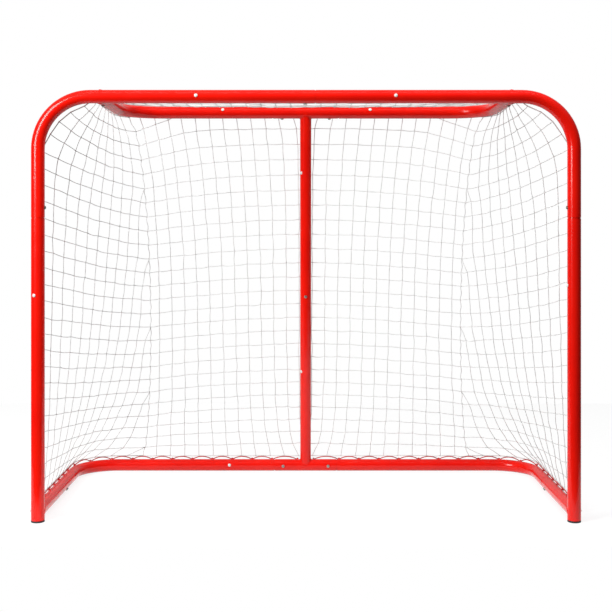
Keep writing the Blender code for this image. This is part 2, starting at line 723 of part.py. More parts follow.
def make_side_net(side):
    beside = EDGE_BESIDE_PEG
    upper = bent_path((Vector((-SHELF_HALF_WIDTH, EDGE_OFFSET, CROSSBAR_Z - beside)),
                       Vector((-POST_X + beside, EDGE_OFFSET, CROSSBAR_Z - beside)),
                       Vector((-POST_X + beside, EDGE_OFFSET, BASE_FRONT_HEIGHT + NET_BOTTOM_RISE))),
                      CORNER_BEND - beside)
    front = resampled(upper[::-1], NET_ROWS)
    front[-1] = shelf_point(EDGE_OFFSET, -1) - UP * EDGE_UNDER_BOLT
    back = seam_line(NET_ROWS, -SEAM_TO_NET)
    line = base_path(-1, 0, 0, GUIDE_STEPS)
    foot = POST_X - BASE_BEND - SEAM_FOOT_FROM_BEND
    whole = path_length(line) - 2 * EDGE_OFFSET
    bottom = [beside_rail(line, whole + (foot - whole) * step / SIDE_COLUMNS, NET_BOTTOM_OUT, NET_BOTTOM_RISE)
              for step in range(SIDE_COLUMNS + 1)]
    bottom[0] = front[0]
    bottom[-1] = back[0]
    to_corner = (SEAM_CORNER_TURN - math.pi / 2) / SHELF_EDGE_STEPS
    run = [front[-1]]
    run += [shelf_edge(math.pi / 2 + to_corner * step, UNDER_SHELF, EDGE_UNDER_BOLT)
            for step in range(SHELF_EDGE_STEPS + 1)]
    top = resampled(run, SIDE_COLUMNS)
    top[-1] = back[-1]
    rows = patch(front, back, bottom, top)
    rows = [[on_side(point, side) for point in line] for line in rows]
    make_net("net_left" if side < 0 else "net_right", rows)


def make_seam_cord(side):
    path = [on_side(point, side) for point in seam_line(NET_ROWS, 0)]
    name = "seam_cord_left" if side < 0 else "seam_cord_right"
    new_part(name, pipe_mesh(path, [SEAM_CORD_RADIUS] * len(path), 6, True), WHITE, 0.8)


def shelf_outline(tilt, reach, count):
    """Points round the shelf's back rail from the left corner seam to the right one."""
    turns = [SEAM_CORNER_TURN * (1 - step / SHELF_EDGE_STEPS) for step in range(SHELF_EDGE_STEPS + 1)]
    left = [shelf_edge(turn, tilt, reach) for turn in turns]
    return resampled(left + [mirrored(point) for point in reversed(left)], count)


def behind_centre_post(height):
    """Where a cord lies that passes close behind the centre post."""
    lean = (BASE_DEPTH - SHELF_DEPTH) / (SHELF_BACK_Z - BASE_BACK_Z)
    half_thickness = CENTRE_TUBE_RADIUS * math.hypot(1, lean)
    return centre_point(height).y + half_thickness + NET_STANDOFF


def make_back_net():
    left = seam_line(NET_ROWS, SEAM_TO_NET)
    right = [mirrored(point) for point in left]
    top = shelf_outline(UNDER_SHELF, EDGE_UNDER_BOLT, BACK_COLUMNS)
    top[0] = left[-1]
    top[-1] = right[-1]
    bottom = [left[0].lerp(right[0], step / BACK_COLUMNS) for step in range(BACK_COLUMNS + 1)]
    rows = patch(left, right, bottom, top)
    column_width = (right[0].x - left[0].x) / BACK_COLUMNS
    for point in (point for line in rows for point in line):
        held = (TENT_HALF_WIDTH - abs(point.x)) / (TENT_HALF_WIDTH - column_width)
        held = min(1, max(0, held))
        point.y += max(0, behind_centre_post(point.z) - point.y) * held
    make_net("net_back", rows)


def make_top_net():
    front = []
    for step in range(BACK_COLUMNS + 1):
        x = -SHELF_HALF_WIDTH + 2 * SHELF_HALF_WIDTH * step / BACK_COLUMNS
        front.append(Vector((x, EDGE_OFFSET, CROSSBAR_Z + EDGE_BESIDE_PEG)))
    front[0].z = front[-1].z = CROSSBAR_Z + EDGE_OFFSET
    over = shelf_outline(0, EDGE_OFFSET, BACK_COLUMNS)
    rows = []
    for row in range(TOP_ROWS + 1):
        v = row / TOP_ROWS
        line = []
        for column, (near, far) in enumerate(zip(front, over)):
            sag = TOP_SAG * math.sin(math.pi * v) * math.sin(math.pi * column / BACK_COLUMNS)
            line.append(near.lerp(far, v) - UP * sag)
        rows.append(line)
    make_net("net_top", rows)


def centre_on_footprint():
    """Moves the whole goal so that the middle of its box is over the origin, on Z = 0."""
    graph = bpy.context.evaluated_depsgraph_get()
    corners = []
    for item in parts.objects:
        shown = item.evaluated_get(graph)
        corners += [shown.matrix_world @ vertex.co for vertex in shown.data.vertices]
    low = [min(corner[axis] for corner in corners) for axis in range(3)]
    high = [max(corner[axis] for corner in corners) for axis in range(3)]
    stand.location = (-(low[0] + high[0]) / 2, -(low[1] + high[1]) / 2, -low[2])
    bpy.context.view_layer.update()
    print("moved by", [round(value, 6) for value in stand.location])
    print("size", [round(b - a, 6) for a, b in zip(low, high)])


clear_scene()
parts = make_collection("hockey_goal")
cutters = make_collection("cutters")
stand = bpy.data.objects.new("goal_stand", None)
bpy.context.scene.collection.objects.link(stand)

frame_tubes = {}
for hand_side in (-1, 1):
    for maker in (make_upper_frame, make_lower_post, make_base_rail, make_shelf_rail):
        made = maker(hand_side)
        frame_tubes[made.name] = made
    make_cap(hand_side)
for is_upper in (True, False):
    made = make_centre_post(is_upper)
    frame_tubes[made.name] = made
make_bolts_and_nuts(frame_tubes)
make_plugs(frame_tubes)
make_pegs(frame_tubes)
for hand_side in (-1, 1):
    make_lacing(hand_side)
    make_side_net(hand_side)
    make_seam_cord(hand_side)
make_back_net()
make_top_net()
centre_on_footprint()
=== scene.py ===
import math

import bpy
import numpy as np
from mathutils import Matrix, Vector


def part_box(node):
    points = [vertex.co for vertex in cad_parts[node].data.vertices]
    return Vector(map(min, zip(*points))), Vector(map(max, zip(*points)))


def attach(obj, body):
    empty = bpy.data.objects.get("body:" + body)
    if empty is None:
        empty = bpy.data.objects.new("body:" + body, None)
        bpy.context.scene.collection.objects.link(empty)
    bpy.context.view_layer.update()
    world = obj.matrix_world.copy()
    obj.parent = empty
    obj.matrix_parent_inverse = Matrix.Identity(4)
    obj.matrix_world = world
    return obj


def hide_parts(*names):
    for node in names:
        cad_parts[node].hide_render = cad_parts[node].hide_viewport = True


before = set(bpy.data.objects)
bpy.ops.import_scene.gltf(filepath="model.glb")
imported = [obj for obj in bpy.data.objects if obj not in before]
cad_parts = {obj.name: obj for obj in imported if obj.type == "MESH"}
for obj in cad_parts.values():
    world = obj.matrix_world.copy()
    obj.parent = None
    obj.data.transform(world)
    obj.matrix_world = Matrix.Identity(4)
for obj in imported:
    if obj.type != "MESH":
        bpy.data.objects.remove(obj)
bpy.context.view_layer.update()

up = Vector((0, 0, 1))
across = Vector((1, 0, 0))
back = Vector((0, 1, 0))
sides = {"left": -1, "right": 1}

# Real sizes of the goal in metres. Depths are counted from the plane of the two posts.
goal = {
    "width": 1.42,
    "height": 1.115,
    "baseDepth": 0.575,
    "baseFrontHeight": 0.0275,
    "shelfDepth": 0.39,
    "shelfHalfWidth": 0.532,
    "shelfDrop": 0.0085,
    "cornerBend": 0.135,
    "baseBend": 0.118,
    "shelfBend": 0.115,
    "crossbarSeam": 0.023,
    "postSeamHeight": 0.785,
    "baseStub": 0.32,
    "shelfStub": 0.075,
    "teeHalf": 0.095,
    "centreSeamHeight": 0.522,
    "boltSetback": 0.026,
}

tubing = {
    "radius": 0.0175,
    "centreRadius": 0.0165,
    "wall": 0.0012,
    "sides": 48,
    "bendSteps": 20,
    "maleLength": 0.055,
    "shoulder": 0.003,
    "gap": 0.0003,
    "lip": 0.0008,             # the rounded edge of each cut end and hole, painted pale as worn paint and as a painted highlight
    "lipAngle": math.radians(60),
    "lipSteps": 2,
    "smooth": 38,              # degrees under which an edge is shaded smooth
    "boreSlack": 0.00005,      # the bore is cleared this much wider where a branch was welded on
    "boreReach": 0.005,
    "joinWithin": 0.00001,
}

cap = {"rim": 0.0045, "barrel": 0.02, "round": 0.0009, "taper": 0.002, "smooth": 50}

capLow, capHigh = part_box("post_cap_left")
mouthY = (capLow.y + capHigh.y) / 2
postX = goal["width"] / 2 - tubing["radius"]
crossbarZ = goal["height"] - tubing["radius"]
shelfBackZ = crossbarZ - goal["shelfDrop"]
baseBackZ = tubing["radius"]


def at(x, depth, z):
    return Vector((x, mouthY + depth, z))


# Node helpers

def addNode(tree, kind, inputs=None, **settings):
    # each input takes a value or another node's output
    node = tree.nodes.new("ShaderNode" + kind)
    for label, value in settings.items():
        setattr(node, label, value)
    for label, value in (inputs or {}).items():
        if isinstance(value, bpy.types.NodeSocket):
            tree.links.new(value, node.inputs[label])
        else:
            node.inputs[label].default_value = value
    return node


def calculate(tree, operation, first, second=0):
    return addNode(tree, "Math", {0: first, 1: second}, operation=operation).outputs[0]


def remap(tree, value, fromLow, fromHigh, toLow=0.0, toHigh=1.0, blend="LINEAR"):
    span = addNode(tree, "MapRange", {"Value": value, "From Min": fromLow, "From Max": fromHigh,
                                      "To Min": toLow, "To Max": toHigh}, interpolation_type=blend)
    return span.outputs["Result"]


def mixShaders(tree, share, first, second):
    return addNode(tree, "MixShader", {0: share, 1: first, 2: second}).outputs[0]


# Camera, floor, backdrop and lamps

photo = {
    "focalPixels": 1140,       # focal length, in pixels of the 612-pixel frame
    "frame": 612,
    "axisPixelX": 303.2,       # where the level lens axis meets the picture
    "axisPixelY": 208.75,
    "cameraX": -0.0073,
    "cameraDepth": -2.944,
    "cameraHeight": 0.808,
    "sensor": 36,
}


def setCamera():
    lens = bpy.data.cameras.new("photoCamera")
    lens.sensor_fit = "HORIZONTAL"
    lens.sensor_width = photo["sensor"]
    lens.lens = photo["sensor"] * photo["focalPixels"] / photo["frame"]
    lens.shift_x = (photo["frame"] / 2 - photo["axisPixelX"]) / photo["frame"]
    lens.shift_y = (photo["axisPixelY"] - photo["frame"] / 2) / photo["frame"]
    camera = bpy.data.objects.new("photoCamera", lens)
    camera.location = at(photo["cameraX"], photo["cameraDepth"], photo["cameraHeight"])
    camera.rotation_euler = (math.pi / 2, 0, 0)
    bpy.context.scene.collection.objects.link(camera)
    bpy.context.scene.camera = camera


studio = {
    "skyDiffuse": 0.12,        # even light from all round
    "skyFront": 0.015,         # what gloss shows of the dark side of the room, behind the camera
    "skyBack": 0.5,            # and of the white backdrop
    "skyTop": 0.3,             # and of the ceiling
    "backFade": (0.05, 0.75),  # where each of these fades in, towards the back and the top
    "topFade": (0.05, 0.8),
    "floorAlbedo": 0.82,       # the light that the white floor sends back up
    "floorShade": 0.2,         # how much of the light and shadow on it shows
    "floorGlow": 0.85,         # and the white that it has of its own
    "floorSize": (2.6, 2.0),
    "floorFront": -0.5,        # it ends just in front of the posts
    "floorDrop": 0.0004,
    "aimHeight": 0.55,
    "lamps": (
        # place, width, height, watts, shown in gloss
        ((-2.0, -2.0, 1.65), 1.0, 1.5, 76, True),
        ((0.1, -0.95, 3.1), 2.8, 0.9, 62, False),
        ((0.0, 2.6, 3.0), 2.4, 1.2, 24, False),
    ),
}


def setBackdrop():
    scene = bpy.context.scene
    scene.view_settings.view_transform = "Standard"
    scene.world = bpy.data.worlds.new("whiteStudio")
    scene.world.use_nodes = True
    tree = scene.world.node_tree
    tree.nodes.clear()
    ray = addNode(tree, "LightPath").outputs
    towards = addNode(tree, "TexCoord").outputs["Generated"]
    split = addNode(tree, "SeparateXYZ", {"Vector": towards}).outputs
    depth = remap(tree, split["Y"], *studio["backFade"], studio["skyFront"], studio["skyBack"], "SMOOTHSTEP")
    height = remap(tree, split["Z"], *studio["topFade"], 0.0, studio["skyTop"], "SMOOTHSTEP")
    room = calculate(tree, "MAXIMUM", depth, height)
    plain, gloss, white = (addNode(tree, "Background", {"Color": (1, 1, 1, 1), "Strength": level}).outputs[0]
                           for level in (studio["skyDiffuse"], room, 1.0))
    around = mixShaders(tree, ray["Is Glossy Ray"], plain, gloss)
    seen = calculate(tree, "MAXIMUM", ray["Is Camera Ray"], ray["Is Transmission Ray"])
    addNode(tree, "OutputWorld", {"Surface": mixShaders(tree, seen, around, white)})


def setLamps():
    aim = Vector((0, 0, studio["aimHeight"]))
    for number, (spot, width, height, watts, glossy) in enumerate(studio["lamps"]):
        light = bpy.data.lights.new(f"softbox{number}", "AREA")
        light.shape = "RECTANGLE"
        light.size = width
        light.size_y = height
        light.energy = watts
        lamp = bpy.data.objects.new(light.name, light)
        lamp.location = spot
        lamp.rotation_euler = (aim - Vector(spot)).to_track_quat("-Z", "Y").to_euler()
        lamp.visible_glossy = glossy
        bpy.context.scene.collection.objects.link(lamp)


def setFloor():
    width, depth = studio["floorSize"]
    floor = addShape(bpy.ops.mesh.primitive_plane_add, size=1)
    floor.name = "studioFloor"
    floor.scale = (width, depth, 1)
    floor.location = (0, studio["floorFront"] + depth / 2, -studio["floorDrop"])
    applyPlace()
    paint = bpy.data.materials.new("whiteFloor")
    paint.use_nodes = True
    tree = paint.node_tree
    tree.nodes.clear()
    ray = addNode(tree, "LightPath").outputs
    matt, shade = (addNode(tree, "BsdfDiffuse", {"Color": (studio[grey],) * 3 + (1,)}).outputs[0]
                   for grey in ("floorAlbedo", "floorShade"))
    glow = addNode(tree, "Emission", {"Color": (1, 1, 1, 1), "Strength": studio["floorGlow"]}).outputs[0]
    white = addNode(tree, "AddShader", {0: shade, 1: glow}).outputs[0]
    straight = calculate(tree, "MAXIMUM", ray["Is Camera Ray"], ray["Is Transmission Ray"])
    seen = calculate(tree, "MAXIMUM", straight, ray["Is Glossy Ray"])
    addNode(tree, "OutputMaterial", {"Surface": mixShaders(tree, seen, matt, white)})
    floor.data.materials.append(paint)


# Small helpers for the work in edit mode

def leaveEdit():
    bpy.ops.object.mode_set(mode="OBJECT")


def deselectAll():
    if bpy.context.object and bpy.context.object.mode != "OBJECT":
        leaveEdit()
    bpy.ops.object.select_all(action="DESELECT")


def makeActive(item):
    deselectAll()
    item.select_set(True)
    bpy.context.view_layer.objects.active = item


def editAll(item):
    makeActive(item)
    bpy.ops.object.mode_set(mode="EDIT")
    bpy.ops.mesh.select_mode(type="VERT")
    bpy.ops.mesh.select_all(action="SELECT")


def applyPlace():
    bpy.ops.object.transform_apply(location=True, rotation=True, scale=True)


def addShape(addOne, **settings):
    deselectAll()
    addOne(**settings)
    applyPlace()
    return bpy.context.object


def linked(name, data):
    item = bpy.data.objects.new(name, data)
    bpy.context.scene.collection.objects.link(item)
    return item


def aimed(direction):
    return direction.to_track_quat("Z", "Y").to_euler()


def extrudeTo(place, target):
    bpy.ops.mesh.extrude_region_move(TRANSFORM_OT_translate={"value": tuple(target - place)})
    return target.copy()


def scaleRing(place, factor):
    bpy.ops.transform.resize(value=(factor, factor, factor), center_override=tuple(place))


def closeUp():
    # joins doubled corners, turns every face outward and leaves edit mode
    bpy.ops.mesh.select_all(action="SELECT")
    bpy.ops.mesh.remove_doubles(threshold=tubing["joinWithin"])
    bpy.ops.mesh.normals_make_consistent(inside=False)
    leaveEdit()


def smooth(item, angle):
    makeActive(item)
    bpy.ops.object.shade_smooth_by_angle(angle=math.radians(angle))


def applyChange(item, kind, **settings):
    change = item.modifiers.new("change", kind)
    for label, value in settings.items():
        setattr(change, label, value)
    makeActive(item)
    bpy.ops.object.modifier_apply(modifier=change.name)


def boolean(item, other, operation):
    applyChange(item, "BOOLEAN", operation=operation, solver="MANIFOLD", object=other)
    bpy.data.objects.remove(other, do_unlink=True)


def softenRims(item):
    # rounds each sharp edge and marks the new faces, which later take the pale rim colour of worn paint and
    # painted highlight
    editAll(item)
    bpy.ops.mesh.select_mode(type="EDGE")
    bpy.ops.mesh.select_all(action="DESELECT")
    bpy.ops.mesh.edges_select_sharp(sharpness=tubing["lipAngle"])
    bpy.ops.mesh.bevel(offset=tubing["lip"], segments=tubing["lipSteps"], affect="EDGES")
    leaveEdit()
    for face in item.data.polygons:
        face.material_index = int(face.select)


def turned(name, profile, ringSides):
    # a closed turned piece from (radius, height) steps, stacked from the first ring to the last
    firstRadius, firstHeight = profile[0]
    item = addShape(bpy.ops.mesh.primitive_circle_add, vertices=ringSides, radius=firstRadius,
                    fill_type="NGON", location=(0, 0, firstHeight))
    item.name = name
    editAll(item)
    for (radius, height), (nextRadius, nextHeight) in zip(profile, profile[1:]):
        place = extrudeTo(Vector((0, 0, height)), Vector((0, 0, nextHeight)))
        scaleRing(place, nextRadius / radius)
    closeUp()
    return item


def copyTo(model, name, place, direction, spin=0.0):
    twin = linked(name, model.data.copy())
    turn = direction.to_track_quat("Z", "Y").to_matrix().to_4x4() @ Matrix.Rotation(spin, 4, "Z")
    twin.data.transform(Matrix.Translation(place) @ turn)
    return twin


def joinAll(items, name):
    deselectAll()
    for item in items:
        item.select_set(True)
    bpy.context.view_layer.objects.active = items[0]
    bpy.ops.object.join()
    joined = bpy.context.object
    joined.name = name
    return joined


def newCord(name, radius, ring):
    cord = bpy.data.curves.new(name, "CURVE")
    cord.dimensions = "3D"
    cord.bevel_depth = radius
    cord.bevel_resolution = ring
    return cord


def cordToMesh(cord, within):
    # the new mesh is left in edit mode
    makeActive(linked(cord.name, cord))
    bpy.ops.object.convert(target="MESH")
    item = bpy.context.object
    editAll(item)
    bpy.ops.mesh.remove_doubles(threshold=within)
    return item


def layCord(name, runs, radius, ring=1):
    # round cord along one or more runs of points; its UV map counts along and around each run
    cord = newCord(name, radius, ring)
    cord.twist_mode = "MINIMUM"
    cord.use_fill_caps = True
    for run in runs:
        spline = cord.splines.new("POLY")
        spline.points.add(len(run) - 1)
        spline.points.foreach_set("co", np.append(np.array(run), np.ones((len(run), 1)), 1).ravel())
    item = cordToMesh(cord, 2 * tubing["joinWithin"])
    leaveEdit()
    item.data.shade_smooth()
    return item


# Materials. Each group puts out a pattern, and the finish itself stays in the material.

pattern = {
    "cloudSpan": (0.3, 0.7),   # the part of a noise that holds nearly all of its values
    "speckFiner": 3.1,
    "peelRoughness": 0.4,
    "crestLightPower": 0.6,
    "rubStretch": (1, 4, 1),
    "rubDetail": 6,
    "rubRoughness": 0.65,
    "rubSpan": (0.52, 0.75),   # only the top of the noise shows as rubbed
}


def newGroup(name, values, results):
    group = bpy.data.node_groups.new(name, "ShaderNodeTree")
    group.interface.new_socket(name="Vector", in_out="INPUT", socket_type="NodeSocketVector")
    for label, value in values.items():
        socket = group.interface.new_socket(name=label, in_out="INPUT", socket_type="NodeSocketFloat")
        socket.default_value = value
    for label in results:
        group.interface.new_socket(name=label, in_out="OUTPUT", socket_type="NodeSocketFloat")
    return group, group.nodes.new("NodeGroupInput").outputs, group.nodes.new("NodeGroupOutput").inputs


def noise(tree, vector, scale, detail, roughness=0.5):
    return addNode(tree, "TexNoise", {"Vector": vector, "Scale": scale, "Detail": detail,
                                      "Roughness": roughness}).outputs["Fac"]


def buildMottle():
    # slow cloudy change between a low and a high value
    tree, given, result = newGroup("slowMottle", {"Scale": 5.0, "Low": 0.0, "High": 1.0}, ["Value"])
    cloud = noise(tree, given["Vector"], given["Scale"], 4)
    tree.links.new(remap(tree, cloud, *pattern["cloudSpan"], given["Low"], given["High"]), result["Value"])
    return tree


def buildGrain():
    # fine pebbled grain: orange peel in a powder coat, spark texture in a moulding
    tree, given, result = newGroup("pebbleGrain", {"Scale": 900.0, "Speck": 0.25}, ["Height"])
    peel = noise(tree, given["Vector"], given["Scale"], 1, pattern["peelRoughness"])
    finer = calculate(tree, "MULTIPLY", given["Scale"], pattern["speckFiner"])
    speck = noise(tree, given["Vector"], finer, 0)
    share = calculate(tree, "MULTIPLY", speck, given["Speck"])
    tree.links.new(calculate(tree, "ADD", peel, share), result["Height"])
    return tree


def buildLay():
    # plies of a laid or braided cord, from its UV map: a height for the bump, and a mask that paints the
    # crests lighter and leaves the grooves between plies in painted shade
    tree, given, result = newGroup("cordLay", {"Turns": 7.0, "Plies": 3.0, "Cross": 0.0}, ["Height", "CrestLight"])
    split = addNode(tree, "SeparateXYZ", {"Vector": given["Vector"]}).outputs
    along = calculate(tree, "MULTIPLY", split["X"], given["Turns"])
    around = calculate(tree, "MULTIPLY", split["Y"], given["Plies"])
    waves = []
    for operation in ("ADD", "SUBTRACT"):
        angle = calculate(tree, "MULTIPLY", calculate(tree, operation, along, around), math.pi)
        waves.append(calculate(tree, "ABSOLUTE", calculate(tree, "SINE", angle)))
    crossed = calculate(tree, "MULTIPLY", waves[1], given["Cross"])
    height = calculate(tree, "MAXIMUM", waves[0], crossed)
    tree.links.new(height, result["Height"])
    tree.links.new(calculate(tree, "POWER", height, pattern["crestLightPower"]), result["CrestLight"])
    return tree


def buildRub():
    # faint rubbed streaks and dust that break an even gloss
    tree, given, result = newGroup("handlingRub", {"Scale": 30.0, "Amount": 0.3}, ["Mask"])
    stretch = addNode(tree, "Mapping", {"Vector": given["Vector"], "Scale": pattern["rubStretch"]})
    streak = noise(tree, stretch.outputs["Vector"], given["Scale"], pattern["rubDetail"],
                   pattern["rubRoughness"])
    rubbed = remap(tree, streak, *pattern["rubSpan"])
    tree.links.new(calculate(tree, "MULTIPLY", rubbed, given["Amount"]), result["Mask"])
    return tree


groups = {"mottle": buildMottle(), "grain": buildGrain(), "lay": buildLay(), "rub": buildRub()}


def place(tree, group, vector, **values):
    return addNode(tree, "Group", {"Vector": vector, **values}, node_tree=groups[group]).outputs


def newFinish(name, coat):
    paint = bpy.data.materials.new(name)
    paint.use_nodes = True
    tree = paint.node_tree
    shader = tree.nodes["Principled BSDF"]
    for label, value in coat.items():
        shader.inputs[label].default_value = value
    return paint, tree, shader.inputs, addNode(tree, "TexCoord").outputs


def mixColours(tree, share, low, high):
    return addNode(tree, "Mix", {"Factor": share, 6: (*low, 1), 7: (*high, 1)}, data_type="RGBA").outputs[2]


def bump(tree, height, strength, distance):
    node = addNode(tree, "Bump", {"Height": height, "Strength": strength, "Distance": distance})
    return node.outputs["Normal"]


# Each hard finish drifts between two colours and two roughnesses, over a fine grain.
hardFinishes = {
    "redPowderCoat": {
        "coat": {"IOR": 1.38, "Coat Roughness": 0.07, "Coat Weight": 0.16, "Coat IOR": 1.5},
        "colours": ((0.84, 0.0050, 0.0010), (0.91, 0.0080, 0.0015)), "colourScale": 9.0,
        "dull": (0.20, 0.25), "dullScale": 24.0, "rub": 0.035, "rubScale": 38.0,
        "grainScale": 420, "speck": 0.2, "bump": 0.06, "depth": 0.0003,
    },
    "rimWearAndHighlight": {          # a tube's cut lip, pale as thin worn paint and as a painted highlight
        "coat": {"IOR": 1.5},
        "colours": ((0.88, 0.30, 0.20), (0.95, 0.62, 0.48)), "colourScale": 300.0,
        "dull": (0.25, 0.5), "dullScale": 500.0,
        "grainScale": 1200.0, "speck": 0.5, "bump": 0.2, "depth": 0.0001,
    },
    "blackMoulding": {
        "coat": {"IOR": 1.46},
        "colours": ((0.012, 0.012, 0.012), (0.03, 0.03, 0.03)), "colourScale": 60.0,
        "dull": (0.42, 0.6), "dullScale": 150.0,
        "grainScale": 1500.0, "speck": 0.6, "bump": 0.25, "depth": 0.0002,
    },
    "whitePlug": {
        "coat": {"IOR": 1.46},
        "colours": ((0.72, 0.72, 0.70), (0.84, 0.84, 0.82)), "colourScale": 60.0,
        "dull": (0.2, 0.34), "dullScale": 150.0,
        "grainScale": 1800.0, "speck": 0.6, "bump": 0.1, "depth": 0.0002,
    },
    "greyZinc": {
        "coat": {"Metallic": 1.0},
        "colours": ((0.30, 0.30, 0.27), (0.52, 0.52, 0.48)), "colourScale": 260.0,
        "dull": (0.28, 0.5), "dullScale": 420.0, "rub": 0.2, "rubScale": 500.0,
        "grainScale": 2600.0, "speck": 0.5, "bump": 0.25, "depth": 0.0001,
    },
}
# each cord's first colour is the painted shade in the grooves between its plies, its second the painted light
# on its crests
whiteCotton = {"colours": ((0.55, 0.55, 0.54), (0.80, 0.80, 0.79)), "plies": 3.0, "cross": 0.0, "dull": 0.8,
               "depth": 0.0003}
cordFinishes = {               # turns are of the plies, in one length of the UV map
    "whiteTwine": {**whiteCotton, "turns": 7.0},
    "whiteSeamCord": {**whiteCotton, "turns": 190.0},
    "redLacing": {"colours": ((0.20, 0.002, 0.004), (0.66, 0.007, 0.008)), "turns": 420.0, "plies": 4.0,
                  "cross": 1.0, "dull": 0.6, "depth": 0.0004},
}
fuzzy = {"sheen": {"Sheen Weight": 0.1, "Sheen Roughness": 0.5}, "cloudScale": 70.0, "cloudLow": 0.75,
         "scale": 3000.0, "share": 0.3, "bump": 0.7}


def makeHardFinish(name):
    look = hardFinishes[name]
    paint, tree, shader, where = newFinish(name, look["coat"])
    spot = where["Object"]
    shade = place(tree, "mottle", spot, Scale=look["colourScale"], Low=0.0, High=1.0)
    tree.links.new(mixColours(tree, shade["Value"], *look["colours"]), shader["Base Color"])
    low, high = look["dull"]
    dull = place(tree, "mottle", spot, Scale=look["dullScale"], Low=low, High=high)["Value"]
    if "rub" in look:
        rub = place(tree, "rub", spot, Scale=look["rubScale"], Amount=look["rub"])
        dull = calculate(tree, "ADD", dull, rub["Mask"])
    tree.links.new(dull, shader["Roughness"])
    grain = place(tree, "grain", spot, Scale=look["grainScale"], Speck=look["speck"])
    tree.links.new(bump(tree, grain["Height"], look["bump"], look["depth"]), shader["Normal"])
    return paint


def makeCordFinish(name):
    look = cordFinishes[name]
    paint, tree, shader, where = newFinish(name, {"Roughness": look["dull"], **fuzzy["sheen"]})
    lay = place(tree, "lay", where["UV"], Turns=look["turns"], Plies=look["plies"], Cross=look["cross"])
    cloud = place(tree, "mottle", where["Object"], Scale=fuzzy["cloudScale"], Low=fuzzy["cloudLow"], High=1.0)
    # the lay's crests are painted light and its grooves painted shade; the mottle is the cord's own uneven
    # tone
    share = calculate(tree, "MULTIPLY", lay["CrestLight"], cloud["Value"])
    tree.links.new(mixColours(tree, share, *look["colours"]), shader["Base Color"])
    fuzz = place(tree, "grain", where["Object"], Scale=fuzzy["scale"], Speck=1.0)["Height"]
    height = calculate(tree, "ADD", lay["Height"], calculate(tree, "MULTIPLY", fuzz, fuzzy["share"]))
    tree.links.new(bump(tree, height, fuzzy["bump"], look["depth"]), shader["Normal"])
    return paint


finishes = {name: makeHardFinish(name) for name in hardFinishes}
finishes.update({name: makeCordFinish(name) for name in cordFinishes})
print("finishes ready")


def finishPiece(item, finish, nodes):
    item.data.materials.clear()
    item.data.materials.append(finishes[finish])
    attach(item, "root")
    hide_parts(*nodes)


# Red tubes, each bent and swaged, with its welded branch, its pegs and its drilled holes

def bendAt(before, corner, after, bend):
    # the centre, the two ends, the angle and the axis of the arc that rounds a corner
    towards = (before - corner).normalized()
    away = (after - corner).normalized()
    half = towards.angle(away) / 2
    centre = corner + (towards + away).normalized() * bend / math.sin(half)
    start = corner + towards * bend / math.tan(half)
    end = corner + away * bend / math.tan(half)
    return centre, start, end, math.pi - 2 * half, towards.cross(away)


def drawTube(name, corners, bend=0.0, radius=tubing["radius"], maleStart=False, maleEnd=False):
    male = radius - tubing["wall"] - tubing["gap"]
    outward = (corners[0] - corners[1]).normalized()
    start = corners[0] + outward * tubing["maleLength"] if maleStart else corners[0].copy()
    tube = addShape(bpy.ops.mesh.primitive_circle_add, vertices=tubing["sides"],
                    radius=male if maleStart else radius, location=start, rotation=aimed(-outward))
    tube.name = name
    editAll(tube)
    spot = start.copy()
    if maleStart:
        spot = extrudeTo(spot, corners[0] - outward * tubing["gap"])
        spot = extrudeTo(spot, spot - outward * tubing["shoulder"])
        scaleRing(spot, radius / male)
    for before, corner, after in zip(corners, corners[1:], corners[2:]):
        centre, bendStart, bendEnd, angle, axis = bendAt(before, corner, after, bend)
        extrudeTo(spot, bendStart)
        bpy.ops.mesh.spin(steps=tubing["bendSteps"], angle=angle, center=tuple(centre), axis=tuple(axis))
        spot = bendEnd
    end = (corners[-1] - corners[-2]).normalized()
    if maleEnd:
        spot = extrudeTo(spot, corners[-1] - end * (tubing["gap"] + tubing["shoulder"]))
        spot = extrudeTo(spot, corners[-1] - end * tubing["gap"])
        scaleRing(spot, male / radius)
        extrudeTo(spot, corners[-1] + end * tubing["maleLength"])
    else:
        extrudeTo(spot, corners[-1])
    closeUp()
    face = min(tube.data.polygons, key=lambda candidate: (candidate.center - start).length)
    if (face.center - start).cross(outward).cross(outward).dot(face.normal) > 0:
        editAll(tube)
        bpy.ops.mesh.flip_normals()
        leaveEdit()
    applyChange(tube, "SOLIDIFY", thickness=tubing["wall"], offset=-1, use_even_offset=True)
    # the second finish paints each lip pale, as worn paint and as a painted highlight
    for finish in ("redPowderCoat", "rimWearAndHighlight"):
        tube.data.materials.append(finishes[finish])
    softenRims(tube)
    return tube


weld = {"radius": 0.0017, "ring": 2, "steps": 64, "ripple": 0.10, "ripples": 16}


def weldBead(foot, along, outward, radius):
    # a rippled bead round the line where a branch meets the main tube
    aside = along.cross(outward)
    cord = newCord("bead", weld["radius"], weld["ring"])
    spline = cord.splines.new("POLY")
    spline.points.add(weld["steps"] - 1)
    spline.use_cyclic_u = True
    for step, knot in enumerate(spline.points):
        turn = math.tau * step / weld["steps"]
        wide = radius * math.sin(turn)
        rise = math.sqrt(max(0.0, tubing["radius"] ** 2 - wide ** 2))
        knot.co = (*(foot + along * radius * math.cos(turn) + aside * wide + outward * rise), 1)
        knot.radius = 1 + weld["ripple"] * math.sin(weld["ripples"] * turn)
    item = cordToMesh(cord, tubing["joinWithin"])
    closeUp()
    return item


